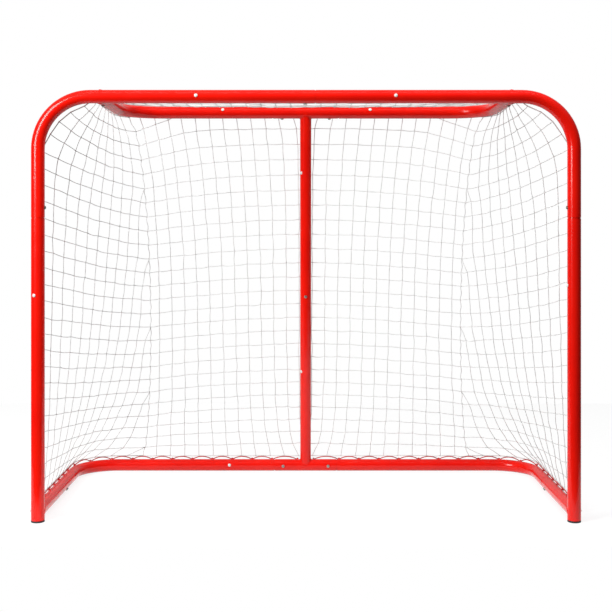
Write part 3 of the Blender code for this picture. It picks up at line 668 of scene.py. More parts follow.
def weldBranch(tube, name, corners, radius, along, maleEnd=False):
    boolean(tube, drawTube(name + "Branch", corners, 0.0, radius, maleEnd=maleEnd), "UNION")
    outward = (corners[1] - corners[0]).normalized()
    boolean(tube, weldBead(corners[0], along, outward, radius), "UNION")
    bore = tubing["radius"] - tubing["wall"] + tubing["boreSlack"]
    boolean(tube, addShape(bpy.ops.mesh.primitive_cylinder_add, vertices=tubing["sides"], radius=bore,
                           depth=2 * (radius + tubing["boreReach"]), location=corners[0],
                           rotation=aimed(along)), "DIFFERENCE")


def upperCorners(side):
    return [at(goal["crossbarSeam"], 0, crossbarZ), at(side * postX, 0, crossbarZ),
            at(side * postX, 0, goal["postSeamHeight"])]


def basePoint(depth, side):
    fall = (goal["baseFrontHeight"] - baseBackZ) * depth / goal["baseDepth"]
    return at(side * postX, depth, goal["baseFrontHeight"] - fall)


def shelfPoint(depth, side):
    fall = goal["shelfDrop"] * depth / goal["shelfDepth"]
    return at(side * goal["shelfHalfWidth"], depth, crossbarZ - fall)


def centrePoint(height):
    share = (shelfBackZ - height) / (shelfBackZ - baseBackZ)
    return at(0, goal["shelfDepth"] + (goal["baseDepth"] - goal["shelfDepth"]) * share, height)


def baseCorners(side, inner, front):
    return [at(side * inner, goal["baseDepth"], baseBackZ), basePoint(goal["baseDepth"], side),
            basePoint(front, side)]


def shelfCorners(side, inner, front):
    return [at(side * inner, goal["shelfDepth"], shelfBackZ), shelfPoint(goal["shelfDepth"], side),
            shelfPoint(front, side)]


def squareToCentrePost(direction):
    lean = (centrePoint(shelfBackZ) - centrePoint(baseBackZ)).normalized()
    return (direction - lean * direction.dot(lean)).normalized()


def makeTubes():
    tubes = {}
    foot = capHigh.z - cap["barrel"] + tubing["gap"]
    tee, slip = goal["teeHalf"], {"maleStart": True, "maleEnd": True}
    for hand, side in sides.items():
        upper = drawTube(f"upperFrame_{hand}", upperCorners(side), goal["cornerBend"], maleStart=side > 0)
        weldBranch(upper, f"shelfStub_{hand}", [shelfPoint(0, side), shelfPoint(goal["shelfStub"], side)],
                   tubing["radius"], across)
        lower = drawTube(f"lowerPost_{hand}", [at(side * postX, 0, foot),
                                               at(side * postX, 0, goal["postSeamHeight"])], maleEnd=True)
        weldBranch(lower, f"baseStub_{hand}", [basePoint(0, side), basePoint(goal["baseStub"], side)],
                   tubing["radius"], up)
        baseRail = drawTube(f"baseRail_{hand}", baseCorners(side, tee, goal["baseStub"]), goal["baseBend"],
                            **slip)
        shelfRail = drawTube(f"shelfRail_{hand}", shelfCorners(side, tee, goal["shelfStub"]),
                             goal["shelfBend"], **slip)
        tubes.update({f"upper_{hand}_frame": upper, f"lower_{hand}_post": lower,
                      f"base_rail_{hand}": baseRail, f"shelf_rail_{hand}": shelfRail})
    for level, height in (("upper", shelfBackZ), ("lower", baseBackZ)):
        middle = centrePoint(height)
        post = drawTube(f"centrePost_{level}", [middle - across * tee, middle + across * tee])
        weldBranch(post, f"stem_{level}", [middle, centrePoint(goal["centreSeamHeight"])],
                   tubing["centreRadius"], across, maleEnd=level == "lower")
        tubes[f"centre_post_{level}"] = post
    return tubes


setCamera()
setBackdrop()
setLamps()
setFloor()
print("camera, floor and lamps ready")
tubes = makeTubes()
print("tubes drawn")

# Bolts, plugs and caps

bolt = {"radius": 0.003, "headRadius": 0.0047, "headHeight": 0.003, "length": 0.012, "chamfer": 0.0006,
        "headEdge": 0.0002, "socket": 0.0017, "socketDepth": 0.0014, "holeGap": 0.0004,
        "holeSides": 20,
        "baseTilt": math.radians(36), "spin": 0.4, "sides": 24, "smooth": 35}
plug = {"headRadius": 0.0046, "headHeight": 0.0018, "headEdge": 0.0002, "stemRadius": 0.003,
        "stemLength": 0.006, "smooth": 50}


def boltModel():
    shank, r, h = bolt["radius"], bolt["headRadius"], bolt["headHeight"]
    profile = [(shank * 0.8, -bolt["length"]), (shank, bolt["chamfer"] - bolt["length"]), (shank, 0),
               (r - bolt["headEdge"], 0), (r, bolt["headEdge"]), (r, h * 0.28), (r * 0.93, h * 0.55),
               (r * 0.8, h * 0.8), (r * 0.6, h * 0.96), (r * 0.5, h)]
    item = turned("boltModel", profile, bolt["sides"])
    boolean(item, addShape(bpy.ops.mesh.primitive_cylinder_add, vertices=6, radius=bolt["socket"],
                           depth=bolt["socketDepth"] * 2, location=(0, 0, h)), "DIFFERENCE")
    smooth(item, bolt["smooth"])
    return item


def plugModel():
    stem, r, h = plug["stemRadius"], plug["headRadius"], plug["headHeight"]
    profile = [(stem * 0.75, -plug["stemLength"]), (stem, -plug["stemLength"] * 0.7), (stem, 0),
               (r - plug["headEdge"], 0), (r, plug["headEdge"] * 1.25), (r * 0.93, h * 0.5),
               (r * 0.74, h * 0.8), (r * 0.45, h * 0.96), (r * 0.12, h)]
    item = turned("plugModel", profile, bolt["sides"])
    smooth(item, plug["smooth"])
    return item


def boltPlaces():
    # kind, hand, the two tubes that it joins, their radius, the place on their axis and the way it faces
    wide, slim, setback = tubing["radius"], tubing["centreRadius"], goal["boltSetback"]
    leanDown = (centrePoint(baseBackZ) - centrePoint(shelfBackZ)).normalized()
    rows = [("crossbar", "", ("upper_left_frame", "upper_right_frame"), wide,
             at(goal["crossbarSeam"] - setback, 0, crossbarZ), -up),
            ("centre_post", "", ("centre_post_upper", "centre_post_lower"), slim,
             centrePoint(goal["centreSeamHeight"]) - leanDown * setback, squareToCentrePost(-back))]
    for hand, side in sides.items():
        outward = across * side
        inTee = outward * (goal["teeHalf"] - setback)
        postBolt = at(side * postX, 0, goal["postSeamHeight"] + setback)
        tilted = -outward * math.cos(bolt["baseTilt"]) - up * math.sin(bolt["baseTilt"])
        frameTube, post, base, shelf = (f"upper_{hand}_frame", f"lower_{hand}_post", f"base_rail_{hand}",
                                        f"shelf_rail_{hand}")
        rows += [
            ("post", hand, (frameTube, post), wide, postBolt, -outward),
            ("base_side", hand, (post, base), wide, basePoint(goal["baseStub"] - setback, side), tilted),
            ("shelf_side", hand, (frameTube, shelf), wide,
             shelfPoint(goal["shelfStub"] - setback, side), -up),
            ("shelf_tee", hand, ("centre_post_upper", shelf), wide, centrePoint(shelfBackZ) + inTee, -up),
            ("base_tee", hand, ("centre_post_lower", base), wide, centrePoint(baseBackZ) + inTee, -back),
        ]
    return rows


# Spare hanging holes, by their distance from the middle or their height. Tilts and turns are in degrees.
holes = {
    "crossbarLeft": 0.283, "crossbarRight": 0.231, "shelfLeft": 0.2415, "shelfRight": 0.1876,
    "baseLeft": 0.234, "postHeightLeft": 0.585, "postHeightRight": 0.61, "centreUpper": 0.915,
    "centreLower": 0.316, "crossbarTilt": 6, "shelfTilt": 25, "baseTilt": 10, "postTurnLeft": -21,
    "postTurnRight": -82, "centreTurn": -50,
}


def facing(tilt, turn=0):
    tipped = Matrix.Rotation(math.radians(-tilt), 3, "X") @ -back
    return Matrix.Rotation(math.radians(turn), 3, "Z") @ tipped


def plugPlaces():
    # node, the tube that it plugs, the tube's radius, the place on its axis and the way it faces
    wide, slim = tubing["radius"], tubing["centreRadius"]
    shelf, base = centrePoint(shelfBackZ), centrePoint(baseBackZ)
    rows = []
    for hand, side in sides.items():
        label = hand.capitalize()
        rows += [
            (f"crossbar_plug_{hand}", f"upper_{hand}_frame", wide,
             at(side * holes["crossbar" + label], 0, crossbarZ), facing(holes["crossbarTilt"])),
            (f"post_plug_{hand}", f"lower_{hand}_post", wide,
             at(side * postX, 0, holes["postHeight" + label]), facing(0, holes["postTurn" + label])),
            (f"shelf_plug_{hand}", f"shelf_rail_{hand}", wide,
             shelf + across * side * holes["shelf" + label], facing(holes["shelfTilt"])),
        ]
    for level in ("upper", "lower"):
        rows.append((f"centre_post_plug_{level}", f"centre_post_{level}", slim,
                     centrePoint(holes["centre" + level.capitalize()]),
                     squareToCentrePost(facing(0, holes["centreTurn"]))))
    rows.append(("base_plug", "base_rail_left", wide, base - across * holes["baseLeft"],
                 facing(holes["baseTilt"])))
    return rows


def drillCutter(spot, direction, radius, reach):
    return addShape(bpy.ops.mesh.primitive_cylinder_add, vertices=bolt["holeSides"], depth=reach,
                    radius=radius + bolt["holeGap"], location=spot + direction * reach,
                    rotation=aimed(direction))


def fitBoltsAndPlugs():
    cutters = {name: [] for name in tubes}
    boltShape, plugShape = boltModel(), plugModel()
    for kind, hand, through, radius, spot, direction in boltPlaces():
        node = f"{kind}_bolt" + (f"_{hand}" if hand else "")
        seat = spot + direction * (radius + tubing["gap"])
        item = copyTo(boltShape, node + "Fine", seat, direction, bolt["spin"])
        finishPiece(item, "greyZinc", [node])
        for tube in through:
            cutters[tube].append(drillCutter(spot, direction, bolt["radius"], radius))
    for node, tube, radius, spot, direction in plugPlaces():
        item = copyTo(plugShape, node + "Fine", spot + direction * (radius + tubing["gap"]), direction)
        finishPiece(item, "whitePlug", [node])
        cutters[tube].append(drillCutter(spot, direction, plug["stemRadius"], radius))
    for name, tools in cutters.items():
        boolean(tubes[name], joinAll(tools, name + "Drills"), "DIFFERENCE")
    for model in (boltShape, plugShape):
        bpy.data.objects.remove(model, do_unlink=True)


def fitCaps():
    barrel = tubing["radius"] - tubing["wall"] - tubing["gap"]
    top = cap["rim"] + cap["barrel"]
    r, z, soft = tubing["radius"], cap["rim"], cap["round"]
    profile = [(r - soft, 0), (r - soft * 0.3, soft * 0.3), (r, soft), (r, z - soft * 0.4),
               (r - soft * 0.4, z), (barrel, z), (barrel, top - cap["taper"]), (barrel - cap["taper"], top)]
    for hand, side in sides.items():
        item = turned(f"postCap_{hand}", profile, tubing["sides"])
        item.data.transform(Matrix.Translation(at(side * postX, 0, 0)))
        smooth(item, cap["smooth"])
        finishPiece(item, "blackMoulding", [f"post_cap_{hand}"])


fitBoltsAndPlugs()
fitCaps()
print("bolts, plugs and caps fitted")

# Pegs on the backs of the tubes, which hold the net's edge and its lacing

pegs = {"foot": 0.0015, "head": 0.0035, "height": 0.0055, "flare": 1.5, "sides": 12, "postPitch": 0.127,
        "crossbarPitch": 0.127, "crossbarFirst": 0.085, "crossbarLast": 0.48}
lacing = {"radius": 0.0015, "ring": 3, "pitch": 0.0617, "firstPeg": 0.0245, "secondPeg": 0.1035,
          "postGap": 0.045, "pegTilt": math.radians(40), "netRise": 0.0272, "netOut": 0.006,
          "crestDrop": 0.0020, "steps": 18, "fullness": 0.62}


def bentRun(corners, bend, steps=24):
    points = [corners[0]]
    for before, corner, after in zip(corners, corners[1:], corners[2:]):
        centre, start, end, angle, axis = bendAt(before, corner, after, bend)
        points += [centre + Matrix.Rotation(angle * step / steps, 3, -axis) @ (start - centre)
                   for step in range(steps)]
        points.append(end)
    return points + [corners[-1]]


def runLength(run):
    return sum((end - start).length for start, end in zip(run, run[1:]))


def walkAlong(run, distance):
    for start, end in zip(run, run[1:]):
        length = (end - start).length
        if distance <= length:
            break
        distance -= length
    direction = (end - start).normalized()
    return start + direction * min(distance, length), direction


def mirrored(point):
    return Vector((-point.x, point.y, point.z))


def onSide(point, side):
    return mirrored(point) if side > 0 else point


def besideRail(distance, outward, upward):
    # a point beside the left base rail, at a distance along it from the centre plane
    spot, direction = walkAlong(leftBaseRun, distance)
    return spot + direction.cross(up).normalized() * outward + up * upward


def lacingDistances():
    count = int((runLength(leftBaseRun) - lacing["postGap"] - lacing["secondPeg"]) / lacing["pitch"]) + 1
    return [lacing["firstPeg"]] + [lacing["secondPeg"] + lacing["pitch"] * step for step in range(count)]


def pegModel():
    foot, head, tall = pegs["foot"], pegs["head"], pegs["height"]
    base = foot * pegs["flare"]
    profile = [(base, -tubing["wall"] * 0.6), (base, tubing["wall"] * 0.25), (foot, tubing["wall"]),
               (foot, tall * 0.55), (head * 0.92, tall * 0.84), (head, tall * 0.92), (head * 0.86, tall)]
    return turned("pegModel", profile, pegs["sides"])


def fitPegs():
    model = pegModel()
    feet = {name: [] for name in tubes}
    lowest = goal["baseFrontHeight"] + tubing["radius"] + pegs["postPitch"] / 2
    count = int((crossbarZ - goal["cornerBend"] - lowest) / pegs["postPitch"]) + 1
    stubFrom = runLength(leftBaseRun) - goal["baseStub"]
    out, rise = (tubing["radius"] * part(lacing["pegTilt"]) for part in (math.sin, math.cos))
    for hand, side in sides.items():
        for step in range(count):
            height = lowest + pegs["postPitch"] * step
            tube = f"lower_{hand}_post" if height < goal["postSeamHeight"] else f"upper_{hand}_frame"
            feet[tube].append((at(side * postX, tubing["radius"], height), back))
        reach = pegs["crossbarFirst"]
        while reach < pegs["crossbarLast"]:
            feet[f"upper_{hand}_frame"].append((at(side * reach, tubing["radius"], crossbarZ), back))
            reach += pegs["crossbarPitch"]
        for distance in lacingDistances():
            centre = onSide(besideRail(distance, 0, 0), side)
            foot = onSide(besideRail(distance, out, rise), side)
            tube = f"base_rail_{hand}"
            if distance < goal["teeHalf"]:
                tube = "centre_post_lower"
            elif distance > stubFrom:
                tube = f"lower_{hand}_post"
            feet[tube].append((foot, (foot - centre).normalized()))
    for name, spots in feet.items():
        if spots:
            copies = [copyTo(model, "peg", *spot) for spot in spots]
            boolean(tubes[name], joinAll(copies, name + "Pegs"), "UNION")
    bpy.data.objects.remove(model, do_unlink=True)


leftBaseRun = bentRun(baseCorners(-1, 0, 0), goal["baseBend"])
fitPegs()
for node, tube in tubes.items():
    smooth(tube, tubing["smooth"])
    # large faces set the shading, so a narrow rounded lip doesn't bend it along a whole tube
    applyChange(tube, "WEIGHTED_NORMAL", keep_sharp=True, weight=100)
    finishPiece(tube, "redPowderCoat", [node])
    # the lips take the pale colour of worn paint and painted highlight
    tube.data.materials.append(finishes["rimWearAndHighlight"])
print("pegs welded")


def layLacing(hand, side):
    reach = tubing["radius"] + lacing["radius"] + tubing["gap"]
    shareUp = (2 * lacing["radius"] + tubing["gap"] + tubing["wall"]) / (pegs["height"] + tubing["wall"])
    besidePeg = pegs["foot"] + (pegs["head"] - pegs["foot"]) * shareUp + lacing["radius"] + 2 * tubing["gap"]
    tilt = lacing["pegTilt"] + besidePeg / reach
    trough = Vector((reach * math.sin(tilt), reach * math.cos(tilt)))
    crest = Vector((lacing["netOut"] - lacing["radius"], lacing["netRise"] - lacing["crestDrop"]))
    run = []
    distances = lacingDistances()
    for near, far in zip(distances, distances[1:]):
        for step in range(lacing["steps"]):
            share = step / lacing["steps"]
            offset = trough.lerp(crest, math.sin(math.pi * share) ** lacing["fullness"])
            run.append(onSide(besideRail(near + (far - near) * share, *offset), side))
    run.append(onSide(besideRail(distances[-1], *trough), side))
    item = layCord(f"lacingCord_{hand}", [run], lacing["radius"], lacing["ring"])
    finishPiece(item, "redLacing", [f"lacing_cord_{hand}"])


for hand, side in sides.items():
    layLacing(hand, side)
print("lacing laid")

# The net. Its knots are found by letting the twine settle between the places that hold it.

net = {
    "twine": 0.0009,           # radius
    "edge": 0.0014,
    "rows": 26,                # cells from the shelf's rail to the base
    "backColumns": 26,
    "sideColumns": 8,          # inner columns at the shelf; one more starts at every fifth row
    "rowsPerNewColumn": 5,
    "topRows": 9,
    "clear": 0.0013,           # from a tube's surface to the middle of a strand
    "edgeClear": 0.0016,
    "frontTop": {"left": 0.959, "right": 0.966},   # post knot level with the corner bend's centre
    "cornerRadius": 0.119,
    "cornerTurn": math.radians(20.2),
    "cornerRows": 5,
    "cornerSag": 0.009,        # how far the edge hangs in from the corner bend, midway round it
    "seamTurn": math.radians(50),
    "seamTilt": math.radians(150),
    "crossbarTilt": 0.68,      # the side panel's top lies this share of seamTilt round, at the crossbar
    "railPoints": 8,           # points round the shelf's bend
    "seamFootX": 0.5035,
    "seamDraw": 0.047,
    "seamHang": 1.3,
    "seamCrowd": 0.044,        # knots on the seam lie this much lower, and crowd towards its foot
    "crowdPower": 8,
    "seamSkew": 0.8,
    "seamFullness": 0.6,
    "seamRing": 2,
    "seamSteps": 8,            # points in each turn of the seam cord, which turns once a row
    "wrapAhead": 0.013,        # the back's first row lies this far in front of the rail's top
    "wrapCorner": 0.062,       # and slides this much further round the rail at the seam
    "wrapFade": 2.2,
    "wrapPower": 1.6,
    "wrapFree": 3,             # columns from the seam whose second row hangs clear of the rail
    "wrapSteps": 3,            # cells of the net round the shelf's side rail
    "cell": 0.042,
    "bottomPitch": 0.04403,
    "bunchPitch": 0.0106,
    "bunched": 2,              # columns that bunch up on each side of the centre post
    "backWeight": 0.00001,     # sag of a knot for each of its strands
    "sideWeight": 0.00016,
    "topWeight": 0.00034,
    "seamHold": 1.4,           # the columns beside the seam and beside the centre post are drawn in
    "centreHold": 2.0,
    "jitter": 0.0007,
    "bow": 0.0007,
    "bowDrop": 0.00056,
    "steps": 5,
    "strandsPerKnot": 4,
    "tooShort": 1e-9,
    "knotSize": (1.0, 0.72, 1.28),
    "knotGirth": 2.0,
    "knotSpread": (0.85, 1.15),
    "knotTilt": 0.5,
    "knotCrestLight": (0.07, 0.0),  # where a knot takes its painted shade from the twine's lay: on a crest, so it is painted light
}
seeds = {"backLeft": 11, "backRight": 12, "backTwine": 21, "side": 31, "sideTwine": 41, "top": 51,
         "topTwine": 61}
strandReach = tubing["radius"] + net["clear"]
lastRow = net["rows"]
halfColumns = net["backColumns"] // 2


def baseEdgeSpot(x):
    return at(x, goal["baseDepth"] + lacing["netOut"], baseBackZ + lacing["netRise"])


def railSpot(turn, tilt):
    # round the left shelf rail's bend: a turn from the back, a tilt from the top of the tube
    bend = goal["shelfBend"]
    centre = at(bend - goal["shelfHalfWidth"], goal["shelfDepth"] - bend, shelfBackZ)
    outward = Vector((-math.sin(turn), math.cos(turn), 0))
    reach = bend + strandReach * math.sin(tilt)
    return centre + outward * reach + up * strandReach * math.cos(tilt)


def backRailSpot(column, travel):
    # where a column of the back panel meets the shelf's back rail, a travel round the tube from its top
    bendLength = net["seamTurn"] * (goal["shelfBend"] + tubing["radius"])
    whole = bendLength + goal["shelfHalfWidth"] - goal["shelfBend"]
    distance = whole * column / halfColumns
    tilt = max(0.0, travel) / strandReach
    ahead = min(0.0, travel)
    if distance < bendLength:
        turn = net["seamTurn"] * (1 - distance / bendLength)
        return railSpot(turn, tilt) + Vector((-math.sin(turn), math.cos(turn), 0)) * ahead
    straight = railSpot(0, tilt) + back * ahead
    straight.x += distance - bendLength
    return straight


def wrapTravel(column):
    # how far round the back rail a column of the back panel starts
    return net["wrapCorner"] * math.exp(-(column / net["wrapFade"]) ** net["wrapPower"]) - net["wrapAhead"]


def sideTilt(share):
    # how far round the side rail the side panel starts, from the crossbar to the seam's head
    return net["seamTilt"] * (net["crossbarTilt"] + (1 - net["crossbarTilt"]) * share)


def sideRailSpot(share, tilt):
    # on the shelf's left side rail, from the crossbar to the seam's head
    quarter, points = math.pi / 2, net["railPoints"]
    front = railSpot(quarter, tilt)
    front.y = mouthY + tubing["radius"] + 2 * net["clear"]
    front.z += goal["shelfDrop"] * (1 - tubing["radius"] / goal["shelfDepth"])
    run = [front] + [railSpot(quarter + (net["seamTurn"] - quarter) * step / points, tilt)
                     for step in range(points + 1)]
    return walkAlong(run, runLength(run) * share)[0]


def seamSpot(row):
    # the corner seam from its head under the shelf rail to its foot above the base rail
    share = row / lastRow
    share *= 1 + net["seamCrowd"] * (1 - share ** net["crowdPower"])
    head = railSpot(net["seamTurn"], net["seamTilt"])
    foot = baseEdgeSpot(-net["seamFootX"])
    point = head.lerp(foot, share)
    point.y = head.y + (foot.y - head.y) * share ** net["seamHang"]
    point.x += net["seamDraw"] * math.sin(math.pi * share ** net["seamSkew"]) ** net["seamFullness"]
    return point


def frontSpot(row, hand):
    # the side net's front edge, row 1 being the first row below the shelf
    below = row - net["cornerRows"]
    if below >= 0:
        inner = postX - pegs["head"] - net["twine"]
        foot = goal["baseFrontHeight"] + lacing["netRise"]
        share = below / (lastRow - net["cornerRows"])
        return at(-inner, strandReach, net["frontTop"][hand] * (1 - share) + foot * share)
    angle = -below * net["cornerTurn"]
    reach = net["cornerRadius"] - net["cornerSag"] * math.sin(math.pi * -below / net["cornerRows"])
    return at(goal["cornerBend"] - postX - reach * math.cos(angle), strandReach,
              crossbarZ - goal["cornerBend"] + reach * math.sin(angle))


def numberGrid(rows, columns, holds):
    # a panel's knots (row, column), and its links with the strength of each; holds is by column
    number = {(row, column): row * (columns + 1) + column
              for row in range(rows + 1) for column in range(columns + 1)}
    links = [(number[row, column], number[row + 1, column], 1)
             for row in range(rows) for column in range(columns + 1)]
    links += [(number[row, column], number[row, column + 1], holds[column])
              for row in range(rows + 1) for column in range(columns)]
    return number, links


def settle(count, links, held, weight):
    # every free knot hangs at the weighted mean of its neighbours, less its sag
    spots = np.zeros((count, 3))
    pull = np.zeros((count, count))
    for first, second, strength in links:
        pull[first, first] += strength
        pull[second, second] += strength
        pull[first, second] -= strength
        pull[second, first] -= strength
    fixed = np.array(sorted(held))
    free = np.array([number for number in range(count) if number not in held])
    for number, point in held.items():
        spots[number] = point
    load = np.zeros((len(free), 3))
    load[:, 2] = -net["strandsPerKnot"] * weight
    load -= pull[np.ix_(free, fixed)] @ spots[fixed]
    spots[free] = np.linalg.solve(pull[np.ix_(free, free)], load)
    return spots, free


def settleBack():
    # knots (row, column) of the left half of the back panel; its last column is the centre plane
    half = halfColumns
    number, links = numberGrid(lastRow, half, [net["seamHold"]] + [1] * (half - 2) + [net["centreHold"]])
    held = {}
    for column in range(half + 1):
        travel = wrapTravel(column)
        held[number[0, column]] = backRailSpot(column, travel)
        if column > net["wrapFree"]:
            held[number[1, column]] = backRailSpot(column, travel + net["cell"])
        fromBunch = column - half + net["bunched"]
        x = fromBunch * net["bottomPitch"] - net["bunched"] * net["bunchPitch"]
        if fromBunch > 0:
            x = (column - half) * net["bunchPitch"]
        held[number[lastRow, column]] = baseEdgeSpot(x)
    for row in range(lastRow + 1):
        held[number[row, 0]] = seamSpot(row)
    # the centre column lies against the back of the centre post, so its depth is set after its height
    mirrorLinks = links + [(number[row, half], number[row, half - 1], 1) for row in range(lastRow + 1)]
    spots = settle(len(number), mirrorLinks, held, net["backWeight"])[0]
    lean = (goal["baseDepth"] - goal["shelfDepth"]) / (shelfBackZ - baseBackZ)
    behind = (tubing["centreRadius"] + net["clear"]) * math.hypot(1, lean)
    for row in range(1, lastRow):
        height = spots[number[row, half]][2]
        held[number[row, half]] = Vector((0, centrePoint(height).y + behind, height))
    return number, links, *settle(len(number), links, held, net["backWeight"])


def settleSide(hand):
    # knots (row, place) of a side panel on the left, from its front edge to the seam
    inner = [net["sideColumns"] + max(0, row - 1) // net["rowsPerNewColumn"] for row in range(lastRow + 1)]
    number = {}
    for row, count in enumerate(inner):
        for column in range(count + 2):
            number[row, column] = len(number)
    links, held = [], {}
    for row, count in enumerate(inner):
        links += [(number[row, column], number[row, column + 1], 1) for column in range(count + 1)]
        if row < lastRow:
            links += [(number[row, column], number[row + 1, column], 1) for column in range(count + 1)]
            links.append((number[row, count + 1], number[row + 1, inner[row + 1] + 1], 1))
            if inner[row + 1] > count:
                links.append((number[row, count + 1], number[row + 1, inner[row + 1]], 1))
        held[number[row, 0]] = frontSpot(row, hand)
        held[number[row, count + 1]] = seamSpot(row)
    for column in range(net["sideColumns"] + 1):
        share = column / (net["sideColumns"] + 1)
        held[number[0, column]] = sideRailSpot(share, sideTilt(share))
    last = inner[-1] + 1
    far = runLength(leftBaseRun) - 2 * tubing["radius"]
    for column in range(1, last):
        distance = far + (net["seamFootX"] - far) * column / last
        held[number[lastRow, column]] = besideRail(distance, lacing["netOut"], lacing["netRise"])
    return number, links, *settle(len(number), links, held, net["sideWeight"])


def settleTop():
    # knots (row, column) of the top panel, from the crossbar to the shelf's back rail
    columns, rows = net["backColumns"], net["topRows"]
    number, links = numberGrid(rows, columns, [1] * columns)
    held = {}
    for column in range(columns + 1):
        x = goal["shelfHalfWidth"] * (2 * column / columns - 1)
        held[number[0, column]] = at(x, strandReach, crossbarZ + pegs["head"] + net["twine"])
        mirror = min(column, columns - column)
        point = backRailSpot(mirror, min(wrapTravel(mirror), 0))
        held[number[rows, column]] = onSide(point, 1 if column > halfColumns else -1)
    for row in range(rows):
        spot = sideRailSpot(row / rows, 0)
        held[number[row, 0]] = spot
        held[number[row, columns]] = mirrored(spot)
    return number, links, *settle(len(number), links, held, net["topWeight"])


def tubeRuns():
    segments = []
    mouth = [at(0, 0, crossbarZ), at(-postX, 0, crossbarZ), at(-postX, 0, 0)]
    for corners, bend in ((mouth, goal["cornerBend"]), (baseCorners(-1, 0, 0), goal["baseBend"]),
                          (shelfCorners(-1, 0, 0), goal["shelfBend"])):
        line = bentRun(corners, bend)
        for run in (line, [mirrored(point) for point in line]):
            segments += [(start, end, tubing["radius"]) for start, end in zip(run, run[1:])]
    segments.append((centrePoint(baseBackZ), centrePoint(shelfBackZ), tubing["centreRadius"]))
    return [(np.array(start), np.array(end - start), radius) for start, end, radius in segments]


tubeSegments = tubeRuns()


def pushOff(points, room):
    # moves any point that lies too close to a tube straight out to its surface
    points = np.array(points, float)
    for start, line, radius in tubeSegments:
        length = np.linalg.norm(line)
        if length < net["tooShort"]:
            continue
        axis = line / length
        nearest = start + np.clip((points - start) @ axis, 0, length)[:, None] * axis
        away = points - nearest
        gap = np.linalg.norm(away, axis=1)
        inside = gap < radius + room
        points[inside] = nearest[inside] + away[inside] / gap[inside][:, None] * (radius + room)
    return points


def strand(first, second, bow):
    shares = np.linspace(0, 1, net["steps"] + 1)[:, None]
    return np.array(first) * (1 - shares) + np.array(second) * shares + np.sin(np.pi * shares) * bow


def tieKnots(name, spots, chance):
    # a tight lump with a slanting wrap, modelled once and turned a little at each knot
    model = addShape(bpy.ops.mesh.primitive_ico_sphere_add, subdivisions=1,
                     radius=net["twine"] * net["knotGirth"])
    editAll(model)
    bpy.ops.transform.resize(value=net["knotSize"], center_override=(0, 0, 0))
    leaveEdit()
    base = np.array([vertex.co for vertex in model.data.vertices])
    faces = np.array([list(face.vertices) for face in model.data.polygons])
    points, corners = [], []
    for number, spot in enumerate(spots):
        turn = np.array(Matrix.Rotation(chance.uniform(-net["knotTilt"], net["knotTilt"]), 3, "Y")
                        @ Matrix.Rotation(chance.uniform(0, math.tau), 3, "Z"))
        points.append(base @ turn.T * chance.uniform(*net["knotSpread"]) + np.array(spot))
        corners.append(faces + number * len(base))
    lumps = bpy.data.meshes.new(name)
    lumps.from_pydata(np.concatenate(points).tolist(), [], np.concatenate(corners).tolist())
    # every knot takes the painted light of a crest of the twine's lay
    crestLightUv = lumps.uv_layers.new(name="UVMap")
    crestLightUv.data.foreach_set("uv", np.tile(net["knotCrestLight"], len(crestLightUv.data)))
    lumps.shade_smooth()
    bpy.data.objects.remove(model, do_unlink=True)
    return linked(name, lumps)


def knitPanel(name, node, strands, knots, edges, seed):
    chance = np.random.default_rng(seed)
    runs = []
    for first, second in strands:
        bow = chance.normal(0, net["bow"], 3)
        bow[2] -= net["bowDrop"]
        runs.append(pushOff(strand(first, second, bow), net["clear"]))
    pieces = [layCord(name, runs, net["twine"])]
    if edges:
        pieces.append(layCord(name + "Edge", [pushOff(run, net["edgeClear"]) for run in edges], net["edge"]))
    pieces.append(tieKnots(name + "Knots", knots, chance))
    panel = joinAll(pieces, name)
    panel.data.shade_smooth()
    finishPiece(panel, "whiteTwine", [node])
    print(name, "faces", len(panel.data.polygons))


def shaken(spots, free, seed):
    chance = np.random.default_rng(seed)
    moved = spots.copy()
    moved[free] += chance.normal(0, net["jitter"], (len(free), 3))
    return moved


def flipped(points):
    return np.array(points) * np.array((-1, 1, 1))


def hangBack():
    number, links, spots, free = settleBack()
    wide = halfColumns + 1
    strands, knots = [], []
    for seed, mirror in ((seeds["backLeft"], False), (seeds["backRight"], True)):
        moved = pushOff(shaken(spots, free, seed), net["clear"])
        moved[[number[row, halfColumns] for row in range(lastRow + 1)], 0] = 0
        if mirror:
            moved = flipped(moved)
        # the seam has its own cord, and both halves share the centre column
        shared = (0, halfColumns) if mirror else (0,)
        strands += [(moved[first], moved[second]) for first, second, hold in links
                    if not (first % wide == second % wide and first % wide in shared)]
        knots += [moved[knot] for key, knot in number.items() if key[1] < halfColumns or not mirror]
    knitPanel("netBack", "net_back", strands, knots, [], seeds["backTwine"])


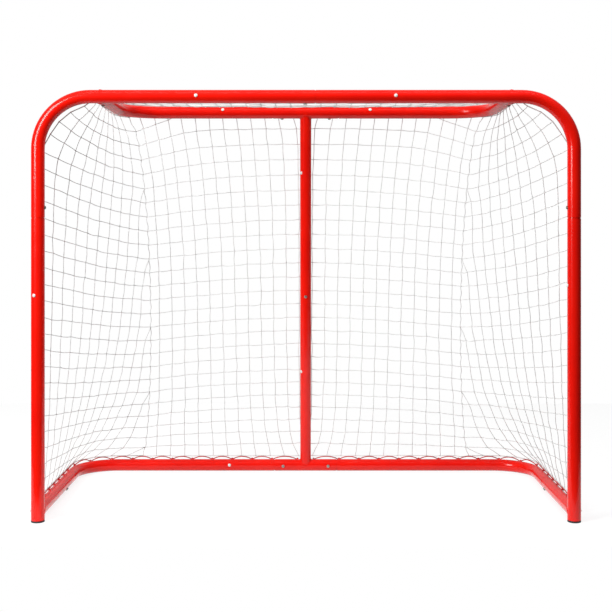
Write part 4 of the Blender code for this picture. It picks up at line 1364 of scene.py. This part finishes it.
def hangSide(hand, side):
    number, links, spots, free = settleSide(hand)
    moved = pushOff(shaken(spots, free, seeds["side"] + side), net["clear"])
    if side > 0:
        moved = flipped(moved)
    rows = [[knot for key, knot in number.items() if key[0] == row] for row in range(lastRow + 1)]
    ends, seam = {row[0] for row in rows}, {row[-1] for row in rows}
    strands = [(moved[first], moved[second]) for first, second, hold in links
               if not {first, second} <= ends and not {first, second} <= seam]
    knots = [moved[knot] for knot in range(len(moved)) if knot not in seam]
    edges = [[moved[row[0]] for row in rows], [moved[knot] for knot in rows[-1]]]
    knitPanel(f"netSide_{hand}", f"net_{hand}", strands, knots, edges, seeds["sideTwine"] + side)


def hangTop():
    number, links, spots, free = settleTop()
    moved = shaken(spots, free, seeds["top"])
    strands = [(moved[first], moved[second]) for first, second, hold in links]
    rows, columns, steps = net["topRows"], net["backColumns"], net["wrapSteps"]
    for side in (-1, 1):
        for row in range(rows + 1):
            low = sideTilt(row / rows)
            arc = [onSide(sideRailSpot(row / rows, low * step / steps), side) for step in range(steps + 1)]
            strands += list(zip(arc, arc[1:]))
    outline = [moved[number[row, 0]] for row in range(rows + 1)]
    outline += [moved[number[rows, column]] for column in range(1, columns + 1)]
    outline += [moved[number[row, columns]] for row in range(rows - 1, -1, -1)]
    frontEdge = [moved[number[0, column]] for column in range(columns + 1)]
    knitPanel("netTop", "net_top", strands, list(moved), [outline, frontEdge], seeds["topTwine"])


def laySeamCord(hand, side):
    run = [onSide(seamSpot(row), side) for row in range(lastRow + 1)]
    whole, count = runLength(run), lastRow * net["seamSteps"]
    wrap = []
    for step in range(count + 1):
        turn = math.tau * step / net["seamSteps"]
        sideways = Vector((math.cos(turn), math.sin(turn), 0)) * net["edge"]
        wrap.append(walkAlong(run, whole * step / count)[0] + sideways)
    item = layCord(f"seamCord_{hand}", [wrap], net["twine"], net["seamRing"])
    finishPiece(item, "whiteSeamCord", [f"seam_cord_{hand}"])


hangBack()
for hand, side in sides.items():
    hangSide(hand, side)
hangTop()
for hand, side in sides.items():
    laySeamCord(hand, side)
print("net hung")

for name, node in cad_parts.items():
    if "nut" in name:
        node.data.materials.clear()
        node.data.materials.append(finishes["greyZinc"])
